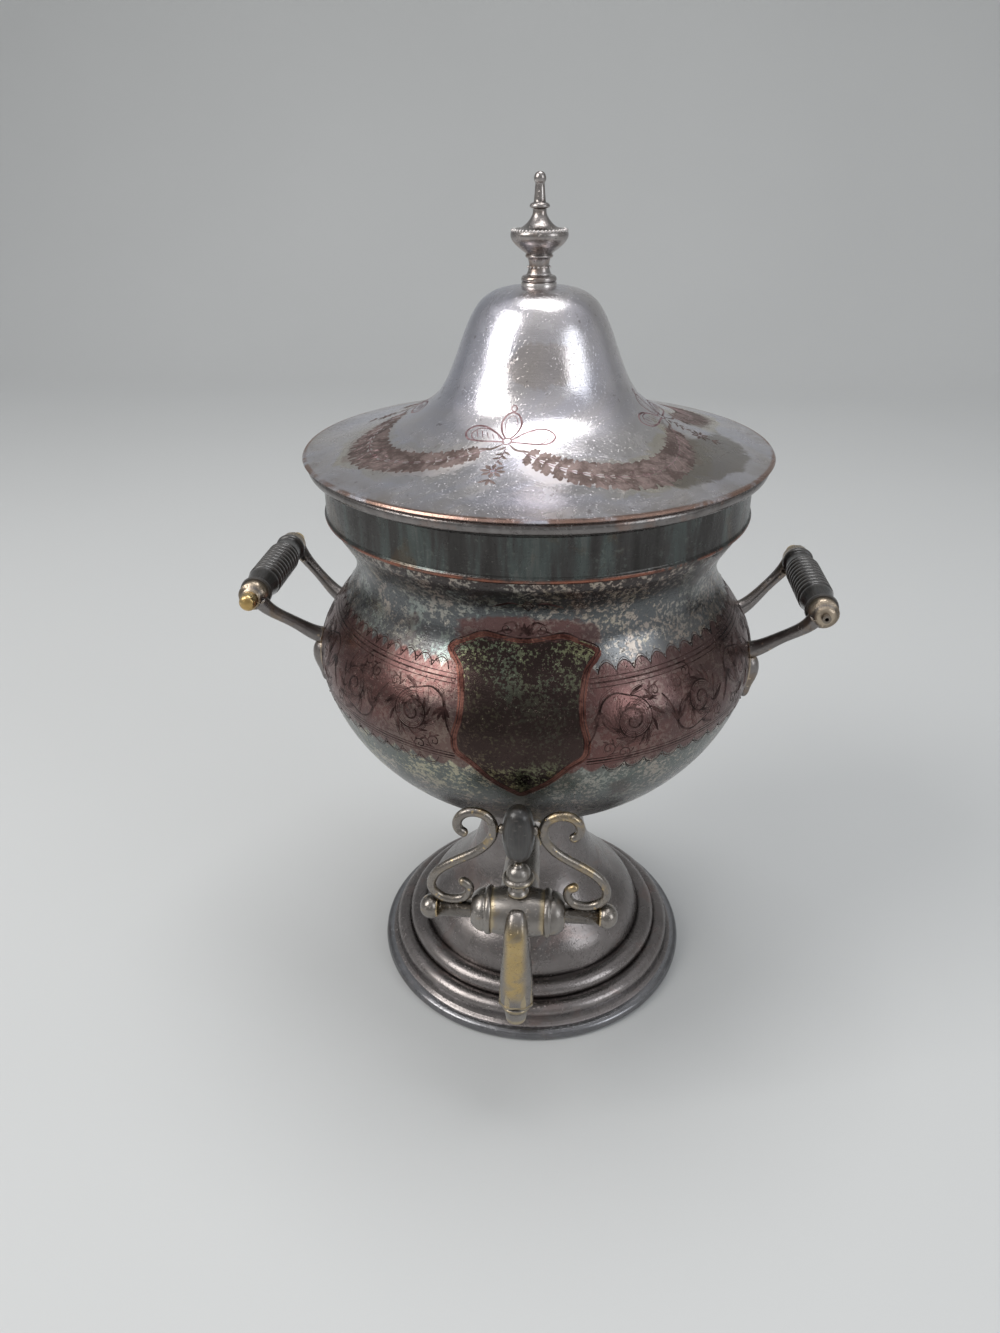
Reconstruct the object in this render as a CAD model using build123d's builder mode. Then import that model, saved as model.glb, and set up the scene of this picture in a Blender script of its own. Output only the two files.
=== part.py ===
from build123d import *
import math
import os

os.makedirs("parts", exist_ok=True)

# A hot-water urn of plated metal: stepped bell foot, round bowl with a narrow neck,
# a lift-off lid with a tall dome, two handles with turned black grips and a lever tap.
# Millimetres, Z up, the urn's axis on Z, the tap towards -Y, the handles at +X and -X.

# main sizes
foot_radius = 88.0
foot_height = 108.0
foot_edge = foot_radius - 4.5
step_top = 22.0
stem_radius = 28.0
disc_thick = 4.0
sheet = 1.6
lid_sheet = 1.4
bowl_floor = foot_height + disc_thick
bowl_height = 178.0
neck_height = 19.5
bowl_top = bowl_floor + bowl_height
belly_radius = 108.1
neck_radius = 96.9
band_radius = neck_radius + 1.8
band_top = bowl_top - 1.6
band_bottom = bowl_top - neck_height - 0.9
rim_top = bowl_top + 6.0
rim_reach = 6.5
lid_over = 1.8
lid_radius = band_radius + rim_reach + lid_over
lid_gap = 0.3
dome_foot = 52.0
dome_rise = 69.5
dome_top = rim_top + dome_rise
touch = 0.02

# tap sizes
tap_clear = 4.9
tap_reach = belly_radius + tap_clear
tap_lift = 4.0
tap_height = bowl_floor + tap_lift
shank_rise = 9.0
barrel_half = 11.8
barrel_radius = 11.4
plug_radius = 6.6
running_gap = 0.05
end_gap = 0.4
bar_radius = 4.1
bar_end = 36.4
ball_radius = 5.5
water_bore = 2.6
shank_radius = 7.6
wire_radius = 1.7
grip_pin_height = tap_height + 46.0
oval_middle = tap_height + 44.0
oval_half = 13.9

# handle sizes
grip_clear = 24.9
grip_x = belly_radius + grip_clear
arm_foot_z = bowl_floor + 93.5
arm_rise = 25.5
grip_z = arm_foot_z + arm_rise
grip_half = 30.0
rod_radius = 2.0
arm_foot_angle = 12.3


def outline(start, *sides):
    # One point makes a straight side, several make a smooth one; then back to the start.
    here = start
    for side in sides:
        if len(side) == 1:
            Line(here, side[0])
        else:
            Spline(here, *side)
        here = side[-1]
    Line(here, start)


def inset(points, depth, count):
    # Points at an even depth behind a curve that runs upwards with the outside at its right.
    curve = Spline(*points, mode=Mode.PRIVATE)
    result = []
    for i in range(count + 1):
        spot = curve @ (i / count)
        way = curve % (i / count)
        result.append((spot.X - depth * way.Y, spot.Y + depth * way.X))
    return result


shank_run = (0, math.cos(math.radians(shank_rise)), math.sin(math.radians(shank_rise)))
shank_axis = Axis((0, -tap_reach, tap_height), shank_run)
shank_side = Plane((0, -tap_reach, tap_height), x_dir=shank_run, z_dir=(1, 0, 0))


def along_shank(distance):
    # A plane square to the shank, this far from the barrel's middle.
    spot = (0, -tap_reach + distance * shank_run[1], tap_height + distance * shank_run[2])
    return Plane(spot, x_dir=(1, 0, 0), z_dir=shank_run)


def on_bowl(angle, radius, z):
    turn = math.radians(angle)
    return (radius * math.cos(turn), radius * math.sin(turn), z)


# the bowl's outline from its floor to its neck; the second value is a share of that height
bowl_shape = [
    (stem_radius, 0.0),
    (stem_radius + 7.0, 0.0126),
    (stem_radius + 15.0, 0.0303),
    (stem_radius + 23.0, 0.0536),
    (stem_radius + 30.4, 0.0814),
    (belly_radius - 41.9, 0.1174),
    (belly_radius - 29.7, 0.1804),
    (belly_radius - 20.5, 0.2423),
    (belly_radius - 13.1, 0.3054),
    (belly_radius - 7.5, 0.3685),
    (belly_radius - 3.5, 0.4303),
    (belly_radius - 0.7, 0.4921),
    (belly_radius, 0.5489),
    (belly_radius - 2.3, 0.6183),
    (belly_radius - 8.1, 0.6814),
    (neck_radius - 4.3, 0.7445),
    (neck_radius - 8.9, 0.7981),
    (neck_radius - 10.0, 0.8454),
    (neck_radius - 8.1, 0.8927),
    (neck_radius - 4.1, 0.9369),
    (neck_radius - 0.7, 0.9754),
    (neck_radius, 1.0),
]
neck_start = bowl_top - neck_height
bowl_curve = [(r, bowl_floor + up * (neck_start - bowl_floor)) for r, up in bowl_shape]


def bowl_radius(z):
    # The bowl's outside radius at a height, taken straight between the outline's points.
    for (r, low), (next_r, high) in zip(bowl_curve, bowl_curve[1:]):
        if low <= z <= high:
            return r + (next_r - r) * (z - low) / (high - low)
    return stem_radius


def meets_bowl(rise):
    # How far along the shank a line this much above its middle reaches the bowl.
    gone = 0.0
    reach = tap_reach + rise * shank_run[2]
    height = tap_height + rise * shank_run[1]
    while reach - gone * shank_run[1] > bowl_radius(height + gone * shank_run[2]):
        gone += 0.5
    return gone


wall = meets_bowl(0)
shoulder = meets_bowl(8.8)
bowl_inside = inset(bowl_curve, sheet, 34)
bowl_inside[0] = (bowl_inside[0][0], bowl_floor + sheet)
bowl_inside[-1] = (neck_radius - sheet + 0.1, neck_start)

# the bowl's outer shape as a solid, a hair larger, to fit pieces against it
with BuildPart() as bowl_block:
    with BuildSketch(Plane.XZ):
        with BuildLine():
            bigger = inset(bowl_curve, -touch, 34)
            outline(
                (0, bigger[0][1]),
                [bigger[0]],
                bigger[1:],
                [(0, bigger[-1][1])],
            )
        make_face()
    revolve(axis=Axis.Z)

# the room inside the bowl as a solid, a hair smaller
with BuildPart() as bowl_room:
    with BuildSketch(Plane.XZ):
        with BuildLine():
            smaller = inset(bowl_curve, sheet + touch, 34)
            smaller[0] = (smaller[0][0], bowl_floor + sheet + touch)
            outline(
                (0, smaller[0][1]),
                [smaller[0]],
                smaller[1:],
                [(0, smaller[-1][1])],
            )
        make_face()
    revolve(axis=Axis.Z)

# foot: one spun sheet with two round steps and a bell, open underneath
bell_foot = foot_edge - 21.5
bell_shape = [
    (1.0, 0.0523),
    (0.9412, 0.1105),
    (0.8412, 0.1698),
    (0.6941, 0.2302),
    (0.5412, 0.2907),
    (0.4, 0.3535),
    (0.2706, 0.4209),
    (0.1706, 0.4953),
    (0.0941, 0.5744),
    (0.0353, 0.6744),
    (0.0059, 0.7791),
    (-0.0059, 0.8837),
    (0.0176, 1.0),
]
bell_curve = [
    (stem_radius + out * (bell_foot - stem_radius), step_top + up * (foot_height - step_top))
    for out, up in bell_shape
]
bell_inside = inset(bell_curve, sheet, 18)
bell_inside[-1] = (bell_curve[-1][0] - sheet, foot_height - sheet)
with BuildPart() as foot:
    with BuildSketch(Plane.XZ):
        with BuildLine():
            outline(
                (foot_edge, 0.6),
                [(foot_edge, 6.3)],
                [(foot_edge - 1.9, 7.4), (foot_edge - 2.9, 9.6)],
                [
                    (foot_edge - 2.8, 12.8),
                    (foot_edge - 4.9, 15.2),
                    (foot_edge - 8.3, 16.2),
                    (foot_edge - 10.8, 15.6),
                ],
                [
                    (foot_edge - 10.8, step_top - 3.4),
                    (foot_edge - 12.9, step_top - 0.6),
                    (foot_edge - 16.7, step_top + 0.7),
                    (foot_edge - 20.1, step_top),
                ],
                bell_curve,
                [(0, foot_height)],
                [(0, foot_height - sheet)],
                [bell_inside[-1]],
                bell_inside[-2::-1] + [(foot_edge - 21.7, step_top - 1.8)],
                [
                    (foot_edge - 16.9, step_top - 1.0),
                    (foot_edge - 14.1, step_top - 1.8),
                    (foot_edge - 12.5, step_top - 4.0),
                    (foot_edge - 12.4, 13.9),
                ],
                [
                    (foot_edge - 8.3, 14.5),
                    (foot_edge - 5.9, 13.9),
                    (foot_edge - 4.5, 12.0),
                    (foot_edge - 4.6, 9.0),
                ],
                [(foot_edge - 3.6, 6.7), (foot_edge - sheet, 5.3)],
                [(foot_edge - sheet, 0.6)],
            )
        make_face()
    revolve(axis=Axis.Z)

foot.part.label = "foot"
export_step(foot.part, "parts/foot.step")

# rolled bead round the foot's edge, flat underneath: the urn stands on it
with BuildPart() as foot_rim:
    with BuildSketch(Plane.XZ):
        with BuildLine():
            outline(
                (foot_edge + touch, 0),
                [(foot_radius - 2.2, 0)],
                [
                    (foot_radius - 0.5, 1.1),
                    (foot_radius, 3.1),
                    (foot_radius - 0.7, 5.1),
                    (foot_radius - 2.6, 6.2),
                ],
                [(foot_edge + touch, 6.2)],
            )
        make_face()
    revolve(axis=Axis.Z)

foot_rim.part.label = "foot_rim"
export_step(foot_rim.part, "parts/foot_rim.step")

# collar between foot and bowl
with BuildPart() as stem_ring:
    with BuildSketch(Plane.XZ):
        with BuildLine():
            outline(
                (0, foot_height),
                [(stem_radius + 0.6, foot_height)],
                [
                    (stem_radius + 2.4, foot_height + 0.5 * disc_thick),
                    (stem_radius + 0.6, bowl_floor),
                ],
                [(0, bowl_floor)],
            )
        make_face()
    revolve(axis=Axis.Z)

stem_ring.part.label = "stem_ring"
export_step(stem_ring.part, "parts/stem_ring.step")

# bowl: one spun sheet with a hole low in front for the tap
with BuildPart() as bowl:
    with BuildSketch(Plane.XZ):
        with BuildLine():
            outline(
                (0, bowl_floor),
                [bowl_curve[0]],
                bowl_curve[1:],
                [(neck_radius, bowl_top)],
                [(bowl_inside[-1][0], bowl_top)],
                [bowl_inside[-1]],
                bowl_inside[-2::-1],
                [(0, bowl_floor + sheet)],
            )
        make_face()
    revolve(axis=Axis.Z)
    with BuildSketch(along_shank(wall - 26.0)):
        Circle(shank_radius + touch)
    extrude(amount=54, mode=Mode.SUBTRACT)

bowl.part.label = "bowl"
export_step(bowl.part, "parts/bowl.step")

# straight band round the top of the neck, its lower edge rolled out
with BuildPart() as collar_band:
    with BuildSketch(Plane.XZ):
        with BuildLine():
            outline(
                (neck_radius + touch, band_bottom),
                [
                    (band_radius, band_bottom - 0.3),
                    (band_radius + 0.9, band_bottom + 0.9),
                    (band_radius + 0.1, band_bottom + 2.2),
                ],
                [(band_radius, band_bottom + 3.0)],
                [(band_radius, band_top)],
                [(neck_radius + touch, band_top)],
            )
        make_face()
    revolve(axis=Axis.Z)

collar_band.part.label = "collar_band"
export_step(collar_band.part, "parts/collar_band.step")

# moulded ring the lid rests on
with BuildPart() as rim_ring:
    with BuildSketch(Plane.XZ):
        with BuildLine():
            outline(
                (bowl_inside[-1][0], bowl_top),
                [(neck_radius + touch, bowl_top)],
                [(neck_radius + touch, band_top)],
                [(band_radius, band_top)],
                [
                    (band_radius + 1.7, rim_top - 6.2),
                    (band_radius + rim_reach - 2.2, rim_top - 5.5),
                    (band_radius + rim_reach - 0.3, rim_top - 3.8),
                    (band_radius + rim_reach, rim_top - 1.6),
                    (band_radius + rim_reach - 1.6, rim_top),
                ],
                [(bowl_inside[-1][0], rim_top)],
            )
        make_face()
    revolve(axis=Axis.Z)

rim_ring.part.label = "rim_ring"
export_step(rim_ring.part, "parts/rim_ring.step")

# lid: flange and bell-shaped dome in one spun sheet
flange_width = lid_radius - dome_foot
flange_shape = [(0.8364, 0.0518), (0.6727, 0.0777), (0.4909, 0.1165), (0.3091, 0.1655), (0.1455, 0.2187)]
dome_shape = [
    (dome_foot, 0.2763),
    (45.6, 0.3482),
    (41.2, 0.4374),
    (37.8, 0.5396),
    (34.8, 0.6475),
    (32.0, 0.7482),
    (28.8, 0.8432),
    (25.0, 0.9180),
    (20.0, 0.9669),
    (14.0, 0.9928),
    (9.0, 1.0),
]
lid_curve = [(lid_radius - 0.6, rim_top + lid_gap + 1.6)]
lid_curve += [(dome_foot + out * flange_width, rim_top + up * dome_rise) for out, up in flange_shape]
lid_curve += [(r, rim_top + up * dome_rise) for r, up in dome_shape]
with BuildPart() as lid:
    with BuildSketch(Plane.XZ):
        with BuildLine():
            under = inset(lid_curve, lid_sheet, 32)
            under[0] = (lid_radius - 2.4, rim_top + lid_gap)
            under[-1] = (9.0, dome_top - lid_sheet)
            outline(
                (lid_radius - 0.9, rim_top + lid_gap),
                [(lid_radius, rim_top + lid_gap + 0.8), lid_curve[0]],
                lid_curve[1:],
                [(1.7, dome_top)],
                [(1.7, dome_top - lid_sheet)],
                [under[-1]],
                under[-2::-1],
            )
        make_face()
    revolve(axis=Axis.Z)

lid.part.label = "lid"
export_step(lid.part, "parts/lid.step")

# ring under the lid that drops into the neck and keeps it centred
with BuildPart() as lid_bezel:
    with BuildSketch(Plane.XY.offset(rim_top - 8.0)):
        Circle(neck_radius - sheet - 0.4)
        Circle(neck_radius - sheet - 1.7, mode=Mode.SUBTRACT)
    extrude(amount=11.4)
    add(lid.part, mode=Mode.SUBTRACT)

lid_bezel.part.label = "lid_bezel"
export_step(lid_bezel.part, "parts/lid_bezel.step")

# plinth of the finial
with BuildPart() as finial_base:
    with BuildSketch(Plane.XZ):
        with BuildLine():
            outline(
                (1.62, dome_top),
                [(7.6, dome_top)],
                [(7.6, dome_top + 1.4)],
                [(6.9, dome_top + 1.7)],
                [(7.6, dome_top + 2.6), (7.3, dome_top + 3.6), (6.2, dome_top + 4.2)],
                [(5.6, dome_top + 4.5)],
                [(1.62, dome_top + 4.5)],
            )
        make_face()
    revolve(axis=Axis.Z)

finial_base.part.label = "finial_base"
export_step(finial_base.part, "parts/finial_base.step")

# turned finial with its stud
finial_foot = dome_top + 4.5
with BuildPart() as finial:
    with BuildSketch(Plane.XZ):
        with BuildLine():
            outline(
                (0, dome_top - 9.0),
                [(1.6, dome_top - 9.0)],
                [(1.6, finial_foot)],
                [(5.5, finial_foot)],
                [(4.6, finial_foot + 1.8), (4.3, finial_foot + 3.8), (4.9, finial_foot + 6.4)],
                [(5.9, finial_foot + 7.2), (5.4, finial_foot + 8.1)],
                [
                    (7.0, finial_foot + 9.3),
                    (10.6, finial_foot + 12.2),
                    (12.2, finial_foot + 15.4),
                    (11.5, finial_foot + 17.2),
                ],
                [(10.2, finial_foot + 17.8)],
                [(7.3, finial_foot + 18.4), (5.6, finial_foot + 19.6), (3.6, finial_foot + 22.0)],
                [(3.0, finial_foot + 23.2), (2.9, finial_foot + 25.2)],
                [(4.2, finial_foot + 26.0), (3.6, finial_foot + 27.2)],
                [(2.5, finial_foot + 27.6)],
                [(1.9, finial_foot + 34.6)],
                [(2.5, finial_foot + 36.4), (1.7, finial_foot + 38.3), (0, finial_foot + 38.8)],
            )
        make_face()
    revolve(axis=Axis.Z)

finial.part.label = "finial"
export_step(finial.part, "parts/finial.step")

# nut that draws the finial down, inside the dome
with BuildPart() as finial_nut:
    with BuildSketch(Plane.XY.offset(dome_top - lid_sheet - 4.0)):
        RegularPolygon(radius=4.6, side_count=6)
        Circle(1.6 + touch, mode=Mode.SUBTRACT)
    extrude(amount=4.0)

finial_nut.part.label = "finial_nut"
export_step(finial_nut.part, "parts/finial_nut.step")

# barrel of the tap as a solid, to fit pieces against it
with BuildPart() as barrel_block:
    with BuildSketch(Plane((0, -tap_reach, tap_height), x_dir=(1, 0, 0), z_dir=(0, -1, 0))):
        with BuildLine():
            outline(
                (-barrel_half, 0),
                [(-barrel_half, 10.0)],
                [(-6.5, 10.9), (0, barrel_radius), (6.5, 10.9), (barrel_half, 10.0)],
                [(barrel_half, 0)],
            )
        make_face()
    revolve(axis=Axis((0, -tap_reach, tap_height), (1, 0, 0)))

# tap casting: shank, barrel and swan spout with a flat front
spout_stations = [
    (tap_reach + 1.0, tap_height + 2.0, 0.80, 4.8, 9.6),
    (tap_reach + 7.0, tap_height - 5.5, 0.50, 5.3, 10.6),
    (tap_reach + 9.9, tap_height - 16.5, 0.22, 6.3, 11.2),
    (tap_reach + 11.6, tap_height - 29.5, 0.08, 7.2, 11.8),
    (tap_reach + 12.2, tap_height - 41.5, 0.0, 7.6, 12.2),
]


def across(reach, height, lean):
    # A plane square to the spout's run, its second direction facing forwards.
    fall = math.sqrt(1 - lean * lean)
    return Plane((0, -reach, height), x_dir=(1, 0, 0), z_dir=(0, -lean, -fall))


with BuildPart() as tap_body:
    for reach, height, lean, half, deep in spout_stations:
        with BuildSketch(across(reach, height, lean)):
            with BuildLine():
                Polyline(
                    (-0.55 * half, 0.5 * deep),
                    (0.55 * half, 0.5 * deep),
                    (half, 0.22 * deep),
                    (half, -0.25 * deep),
                    (0.55 * half, -0.5 * deep),
                    (-0.55 * half, -0.5 * deep),
                    (-half, -0.25 * deep),
                    (-half, 0.22 * deep),
                    close=True,
                )
            make_face()
    loft()
    add(barrel_block.part)
    with BuildSketch(shank_side):
        with BuildLine():
            outline(
                (2.0, 0),
                [(2.0, 8.6)],
                [(12.0, 8.9), (26.0, 8.3), (shoulder - 5.5, shank_radius)],
                [(wall + 28.0, shank_radius)],
                [(wall + 28.0, 0)],
            )
        make_face()
    revolve(axis=shank_axis)
    with BuildSketch(Plane.YZ):
        with Locations((-tap_reach, tap_height)):
            Circle(plug_radius + running_gap)
    extrude(amount=30, both=True, mode=Mode.SUBTRACT)
    with BuildSketch(along_shank(0)):
        Circle(water_bore)
    extrude(amount=wall + 34.0, mode=Mode.SUBTRACT)
    with BuildSketch(Plane.XZ.offset(tap_reach)):
        with Locations((0, tap_height)):
            Circle(water_bore)
    extrude(amount=6.0, mode=Mode.SUBTRACT)
    with BuildSketch(across(tap_reach + 5.0, tap_height + 0.5, 0.17)):
        Circle(water_bore)
    extrude(amount=60, mode=Mode.SUBTRACT)
    with BuildSketch(Plane.XY.offset(tap_height + plug_radius + 1.4)):
        with Locations((0, -tap_reach)):
            Circle(1.9 + touch)
    extrude(amount=10, mode=Mode.SUBTRACT)

tap_body.part.label = "tap_body"
export_step(tap_body.part, "parts/tap_body.step")

# banded nozzle closing the spout
nozzle_plane = across(tap_reach + 12.2, tap_height - 41.5, 0.0)
with BuildPart() as spout_nozzle:
    with BuildSketch(nozzle_plane):
        with BuildLine():
            Polyline(
                (-4.3, 6.2),
                (4.3, 6.2),
                (7.8, 2.8),
                (7.8, -3.2),
                (4.3, -6.2),
                (-4.3, -6.2),
                (-7.8, -3.2),
                (-7.8, 2.8),
                close=True,
            )
        make_face()
    extrude(amount=1.6)
    with BuildSketch(nozzle_plane.offset(1.6)):
        Circle(5.9)
    extrude(amount=1.0)
    with BuildSketch(nozzle_plane.offset(2.6)):
        Circle(6.6)
    extrude(amount=1.4)
    with BuildSketch(nozzle_plane.offset(4.0)):
        Circle(5.8)
    with BuildSketch(nozzle_plane.offset(12.5)):
        Circle(4.7)
    loft()
    with BuildSketch(nozzle_plane):
        Circle(water_bore)
    extrude(amount=14, mode=Mode.SUBTRACT)

spout_nozzle.part.label = "spout_nozzle"
export_step(spout_nozzle.part, "parts/spout_nozzle.step")

# round boss where the shank leaves the bowl, shaped to the bowl
with BuildPart() as tap_flange:
    with BuildSketch(shank_side):
        with BuildLine():
            outline(
                (shoulder - 4.5, shank_radius + touch),
                [(shoulder - 4.5, 8.8)],
                [(shoulder - 2.5, 9.2), (shoulder - 0.5, 10.6)],
                [(wall + 7.0, 10.6)],
                [(wall + 7.0, shank_radius + touch)],
            )
        make_face()
    revolve(axis=shank_axis)
    add(bowl_block.part, mode=Mode.SUBTRACT)

tap_flange.part.label = "tap_flange"
export_step(tap_flange.part, "parts/tap_flange.step")

# nut on the shank inside the bowl, its seat shaped to the wall
with BuildPart() as tap_nut:
    with BuildSketch(along_shank(wall + 6.0)):
        RegularPolygon(radius=11.6, side_count=6)
        Circle(shank_radius + touch, mode=Mode.SUBTRACT)
    extrude(amount=19)
    add(bowl_room.part, mode=Mode.INTERSECT)

tap_nut.part.label = "tap_nut"
export_step(tap_nut.part, "parts/tap_nut.step")

# shoulders that close the barrel, each with a beaded ring
gland_profile = [
    [(barrel_half, 10.5)],
    [(barrel_half + 1.3, 11.0), (barrel_half + 2.6, 10.5)],
    [(barrel_half + 3.0, 9.8)],
    [(17.2, 9.5), (19.6, 8.0), (21.0, 6.2)],
    [(21.0, bar_radius + running_gap)],
]


def mirrored(sides, side):
    return [[(side * x, r) for x, r in run] for run in sides]


barrel_plane = Plane((0, -tap_reach, tap_height), x_dir=(1, 0, 0), z_dir=(0, -1, 0))
barrel_axis = Axis((0, -tap_reach, tap_height), (1, 0, 0))

with BuildPart() as left_gland:
    with BuildSketch(barrel_plane):
        with BuildLine():
            outline((-barrel_half, bar_radius + running_gap), *mirrored(gland_profile, -1))
        make_face()
    revolve(axis=barrel_axis)

left_gland.part.label = "left_gland"
export_step(left_gland.part, "parts/left_gland.step")

with BuildPart() as right_gland:
    with BuildSketch(barrel_plane):
        with BuildLine():
            outline((barrel_half, bar_radius + running_gap), *mirrored(gland_profile, 1))
        make_face()
    revolve(axis=barrel_axis)

right_gland.part.label = "right_gland"
export_step(right_gland.part, "parts/right_gland.step")

# turned bulb standing on the barrel
with BuildPart() as tap_finial:
    with BuildSketch(Plane.XZ.offset(tap_reach)):
        with BuildLine():
            outline(
                (0, tap_height + 8.4),
                [(1.9, tap_height + 8.4)],
                [(1.9, tap_height + 10.4)],
                [(3.4, tap_height + 10.4)],
                [(4.6, tap_height + 12.4), (4.0, tap_height + 14.5), (3.2, tap_height + 15.4)],
                [(6.7, tap_height + 16.9)],
                [(7.2, tap_height + 18.0), (6.5, tap_height + 19.3)],
                [(6.1, tap_height + 22.0), (4.3, tap_height + 25.0), (2.1, tap_height + 26.6)],
                [(1.6, tap_height + 27.4), (0, tap_height + 28.0)],
            )
        make_face()
    revolve(axis=Axis((0, -tap_reach, 0), (0, 0, 1)))
    add(tap_body.part, mode=Mode.SUBTRACT)

tap_finial.part.label = "tap_finial"
export_step(tap_finial.part, "parts/tap_finial.step")

# plug with its water passage, and the two bars at its ends
with BuildPart() as tap_spindle:
    with BuildSketch(barrel_plane):
        with BuildLine():
            plug_half = barrel_half - end_gap
            outline(
                (-bar_end - 3.0, 0),
                [(-bar_end - 3.0, 2.0)],
                [(-bar_end, 2.0)],
                [(-bar_end, bar_radius)],
                [(-plug_half, bar_radius)],
                [(-plug_half, plug_radius)],
                [(plug_half, plug_radius)],
                [(plug_half, bar_radius)],
                [(bar_end, bar_radius)],
                [(bar_end, 2.0)],
                [(bar_end + 3.0, 2.0)],
                [(bar_end + 3.0, 0)],
            )
        make_face()
    revolve(axis=barrel_axis)
    with BuildSketch(Plane.XY.offset(tap_height)):
        with Locations((0, -tap_reach)):
            Circle(water_bore)
    extrude(amount=12, both=True, mode=Mode.SUBTRACT)

tap_spindle.part.label = "tap_spindle"
export_step(tap_spindle.part, "parts/tap_spindle.step")

# ball ends on the bars
ball_profile = [
    [(bar_end, 4.7)],
    [(bar_end + 0.8, 4.7)],
    [
        (bar_end + 3.0, ball_radius),
        (bar_end + 5.4, 4.9),
        (bar_end + 7.4, 3.0),
        (bar_end + 8.0, 0),
    ],
    [(bar_end + 3.2, 0)],
    [(bar_end + 3.2, 2.0 + touch)],
]

with BuildPart() as left_ball:
    with BuildSketch(barrel_plane):
        with BuildLine():
            outline((-bar_end, 2.0 + touch), *mirrored(ball_profile, -1))
        make_face()
    revolve(axis=barrel_axis)

left_ball.part.label = "left_ball"
export_step(left_ball.part, "parts/left_ball.step")

with BuildPart() as right_ball:
    with BuildSketch(barrel_plane):
        with BuildLine():
            outline((bar_end, 2.0 + touch), *mirrored(ball_profile, 1))
        make_face()
    revolve(axis=barrel_axis)

right_ball.part.label = "right_ball"
export_step(right_ball.part, "parts/right_ball.step")

# scroll wires rising from the bars to the black oval
scroll_run = [
    (23.8, 43.2),
    (26.4, 48.0),
    (23.8, 52.8),
    (18.0, 54.3),
    (12.5, 51.2),
    (10.6, 45.1),
    (13.8, 37.4),
    (21.3, 31.0),
    (30.7, 25.3),
    (37.4, 18.4),
    (38.7, 11.7),
    (35.2, 6.7),
    (29.2, bar_radius + 1.0),
    (23.8, 7.1),
    (21.8, 11.7),
    (24.6, 15.6),
]


def scroll_points(side):
    return [(side * x, -tap_reach, tap_height + up) for x, up in scroll_run]


with BuildPart() as left_scroll:
    with BuildLine() as left_run:
        Spline(*scroll_points(-1))
    with BuildSketch(Plane(left_run.line @ 0, z_dir=left_run.line % 0)):
        Circle(wire_radius)
    sweep()
    for spot in (0, 1):
        with Locations(left_run.line @ spot):
            Sphere(wire_radius)
    with BuildSketch(Plane.YZ):
        with Locations((-tap_reach, tap_height)):
            Circle(bar_radius + touch)
    extrude(amount=-60, mode=Mode.SUBTRACT)
    with BuildSketch(Plane.YZ):
        with Locations((-tap_reach, grip_pin_height)):
            Circle(1.2 + touch)
    extrude(amount=-10.8, mode=Mode.SUBTRACT)

left_scroll.part.label = "left_scroll"
export_step(left_scroll.part, "parts/left_scroll.step")

with BuildPart() as right_scroll:
    with BuildLine() as right_run:
        Spline(*scroll_points(1))
    with BuildSketch(Plane(right_run.line @ 0, z_dir=right_run.line % 0)):
        Circle(wire_radius)
    sweep()
    for spot in (0, 1):
        with Locations(right_run.line @ spot):
            Sphere(wire_radius)
    with BuildSketch(Plane.YZ):
        with Locations((-tap_reach, tap_height)):
            Circle(bar_radius + touch)
    extrude(amount=60, mode=Mode.SUBTRACT)
    with BuildSketch(Plane.YZ):
        with Locations((-tap_reach, grip_pin_height)):
            Circle(1.2 + touch)
    extrude(amount=10.8, mode=Mode.SUBTRACT)

right_scroll.part.label = "right_scroll"
export_step(right_scroll.part, "parts/right_scroll.step")

# pin through the oval with a small bead on each side
with BuildPart() as grip_pin:
    with BuildSketch(Plane((0, -tap_reach, grip_pin_height), x_dir=(1, 0, 0), z_dir=(0, -1, 0))):
        with BuildLine():
            outline(
                (-10.7, 0),
                [(-10.7, 1.2)],
                [(-8.6, 1.2)],
                [(-7.9, 2.1), (-6.8, 2.2), (-5.9, 1.2)],
                [(5.9, 1.2)],
                [(6.8, 2.2), (7.9, 2.1), (8.6, 1.2)],
                [(10.7, 1.2)],
                [(10.7, 0)],
            )
        make_face()
    revolve(axis=Axis((0, -tap_reach, grip_pin_height), (1, 0, 0)))

grip_pin.part.label = "grip_pin"
export_step(grip_pin.part, "parts/grip_pin.step")

# black oval finger grip
with BuildPart() as oval_grip:
    with BuildSketch(Plane.XZ.offset(tap_reach)):
        with BuildLine():
            outline(
                (0, oval_middle - oval_half),
                [(0.8, oval_middle - oval_half)],
                [
                    (2.9, oval_middle - 12.3),
                    (4.6, oval_middle - 7.8),
                    (5.4, oval_middle),
                    (4.6, oval_middle + 7.8),
                    (2.9, oval_middle + 12.3),
                    (0.8, oval_middle + oval_half),
                ],
                [(0, oval_middle + oval_half)],
            )
        make_face()
    revolve(axis=Axis((0, -tap_reach, 0), (0, 0, 1)))
    with BuildSketch(Plane.YZ):
        with Locations((-tap_reach, grip_pin_height)):
            Circle(1.2 + touch)
    extrude(amount=20, both=True, mode=Mode.SUBTRACT)
    add(grip_pin.part, mode=Mode.SUBTRACT)

oval_grip.part.label = "oval_grip"
export_step(oval_grip.part, "parts/oval_grip.step")

# turned grips of the handles, with nine ribs in the middle
rib_count = 9
rib_pitch = 3.6
swell = rib_count / 2 * rib_pitch + 1.2


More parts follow.
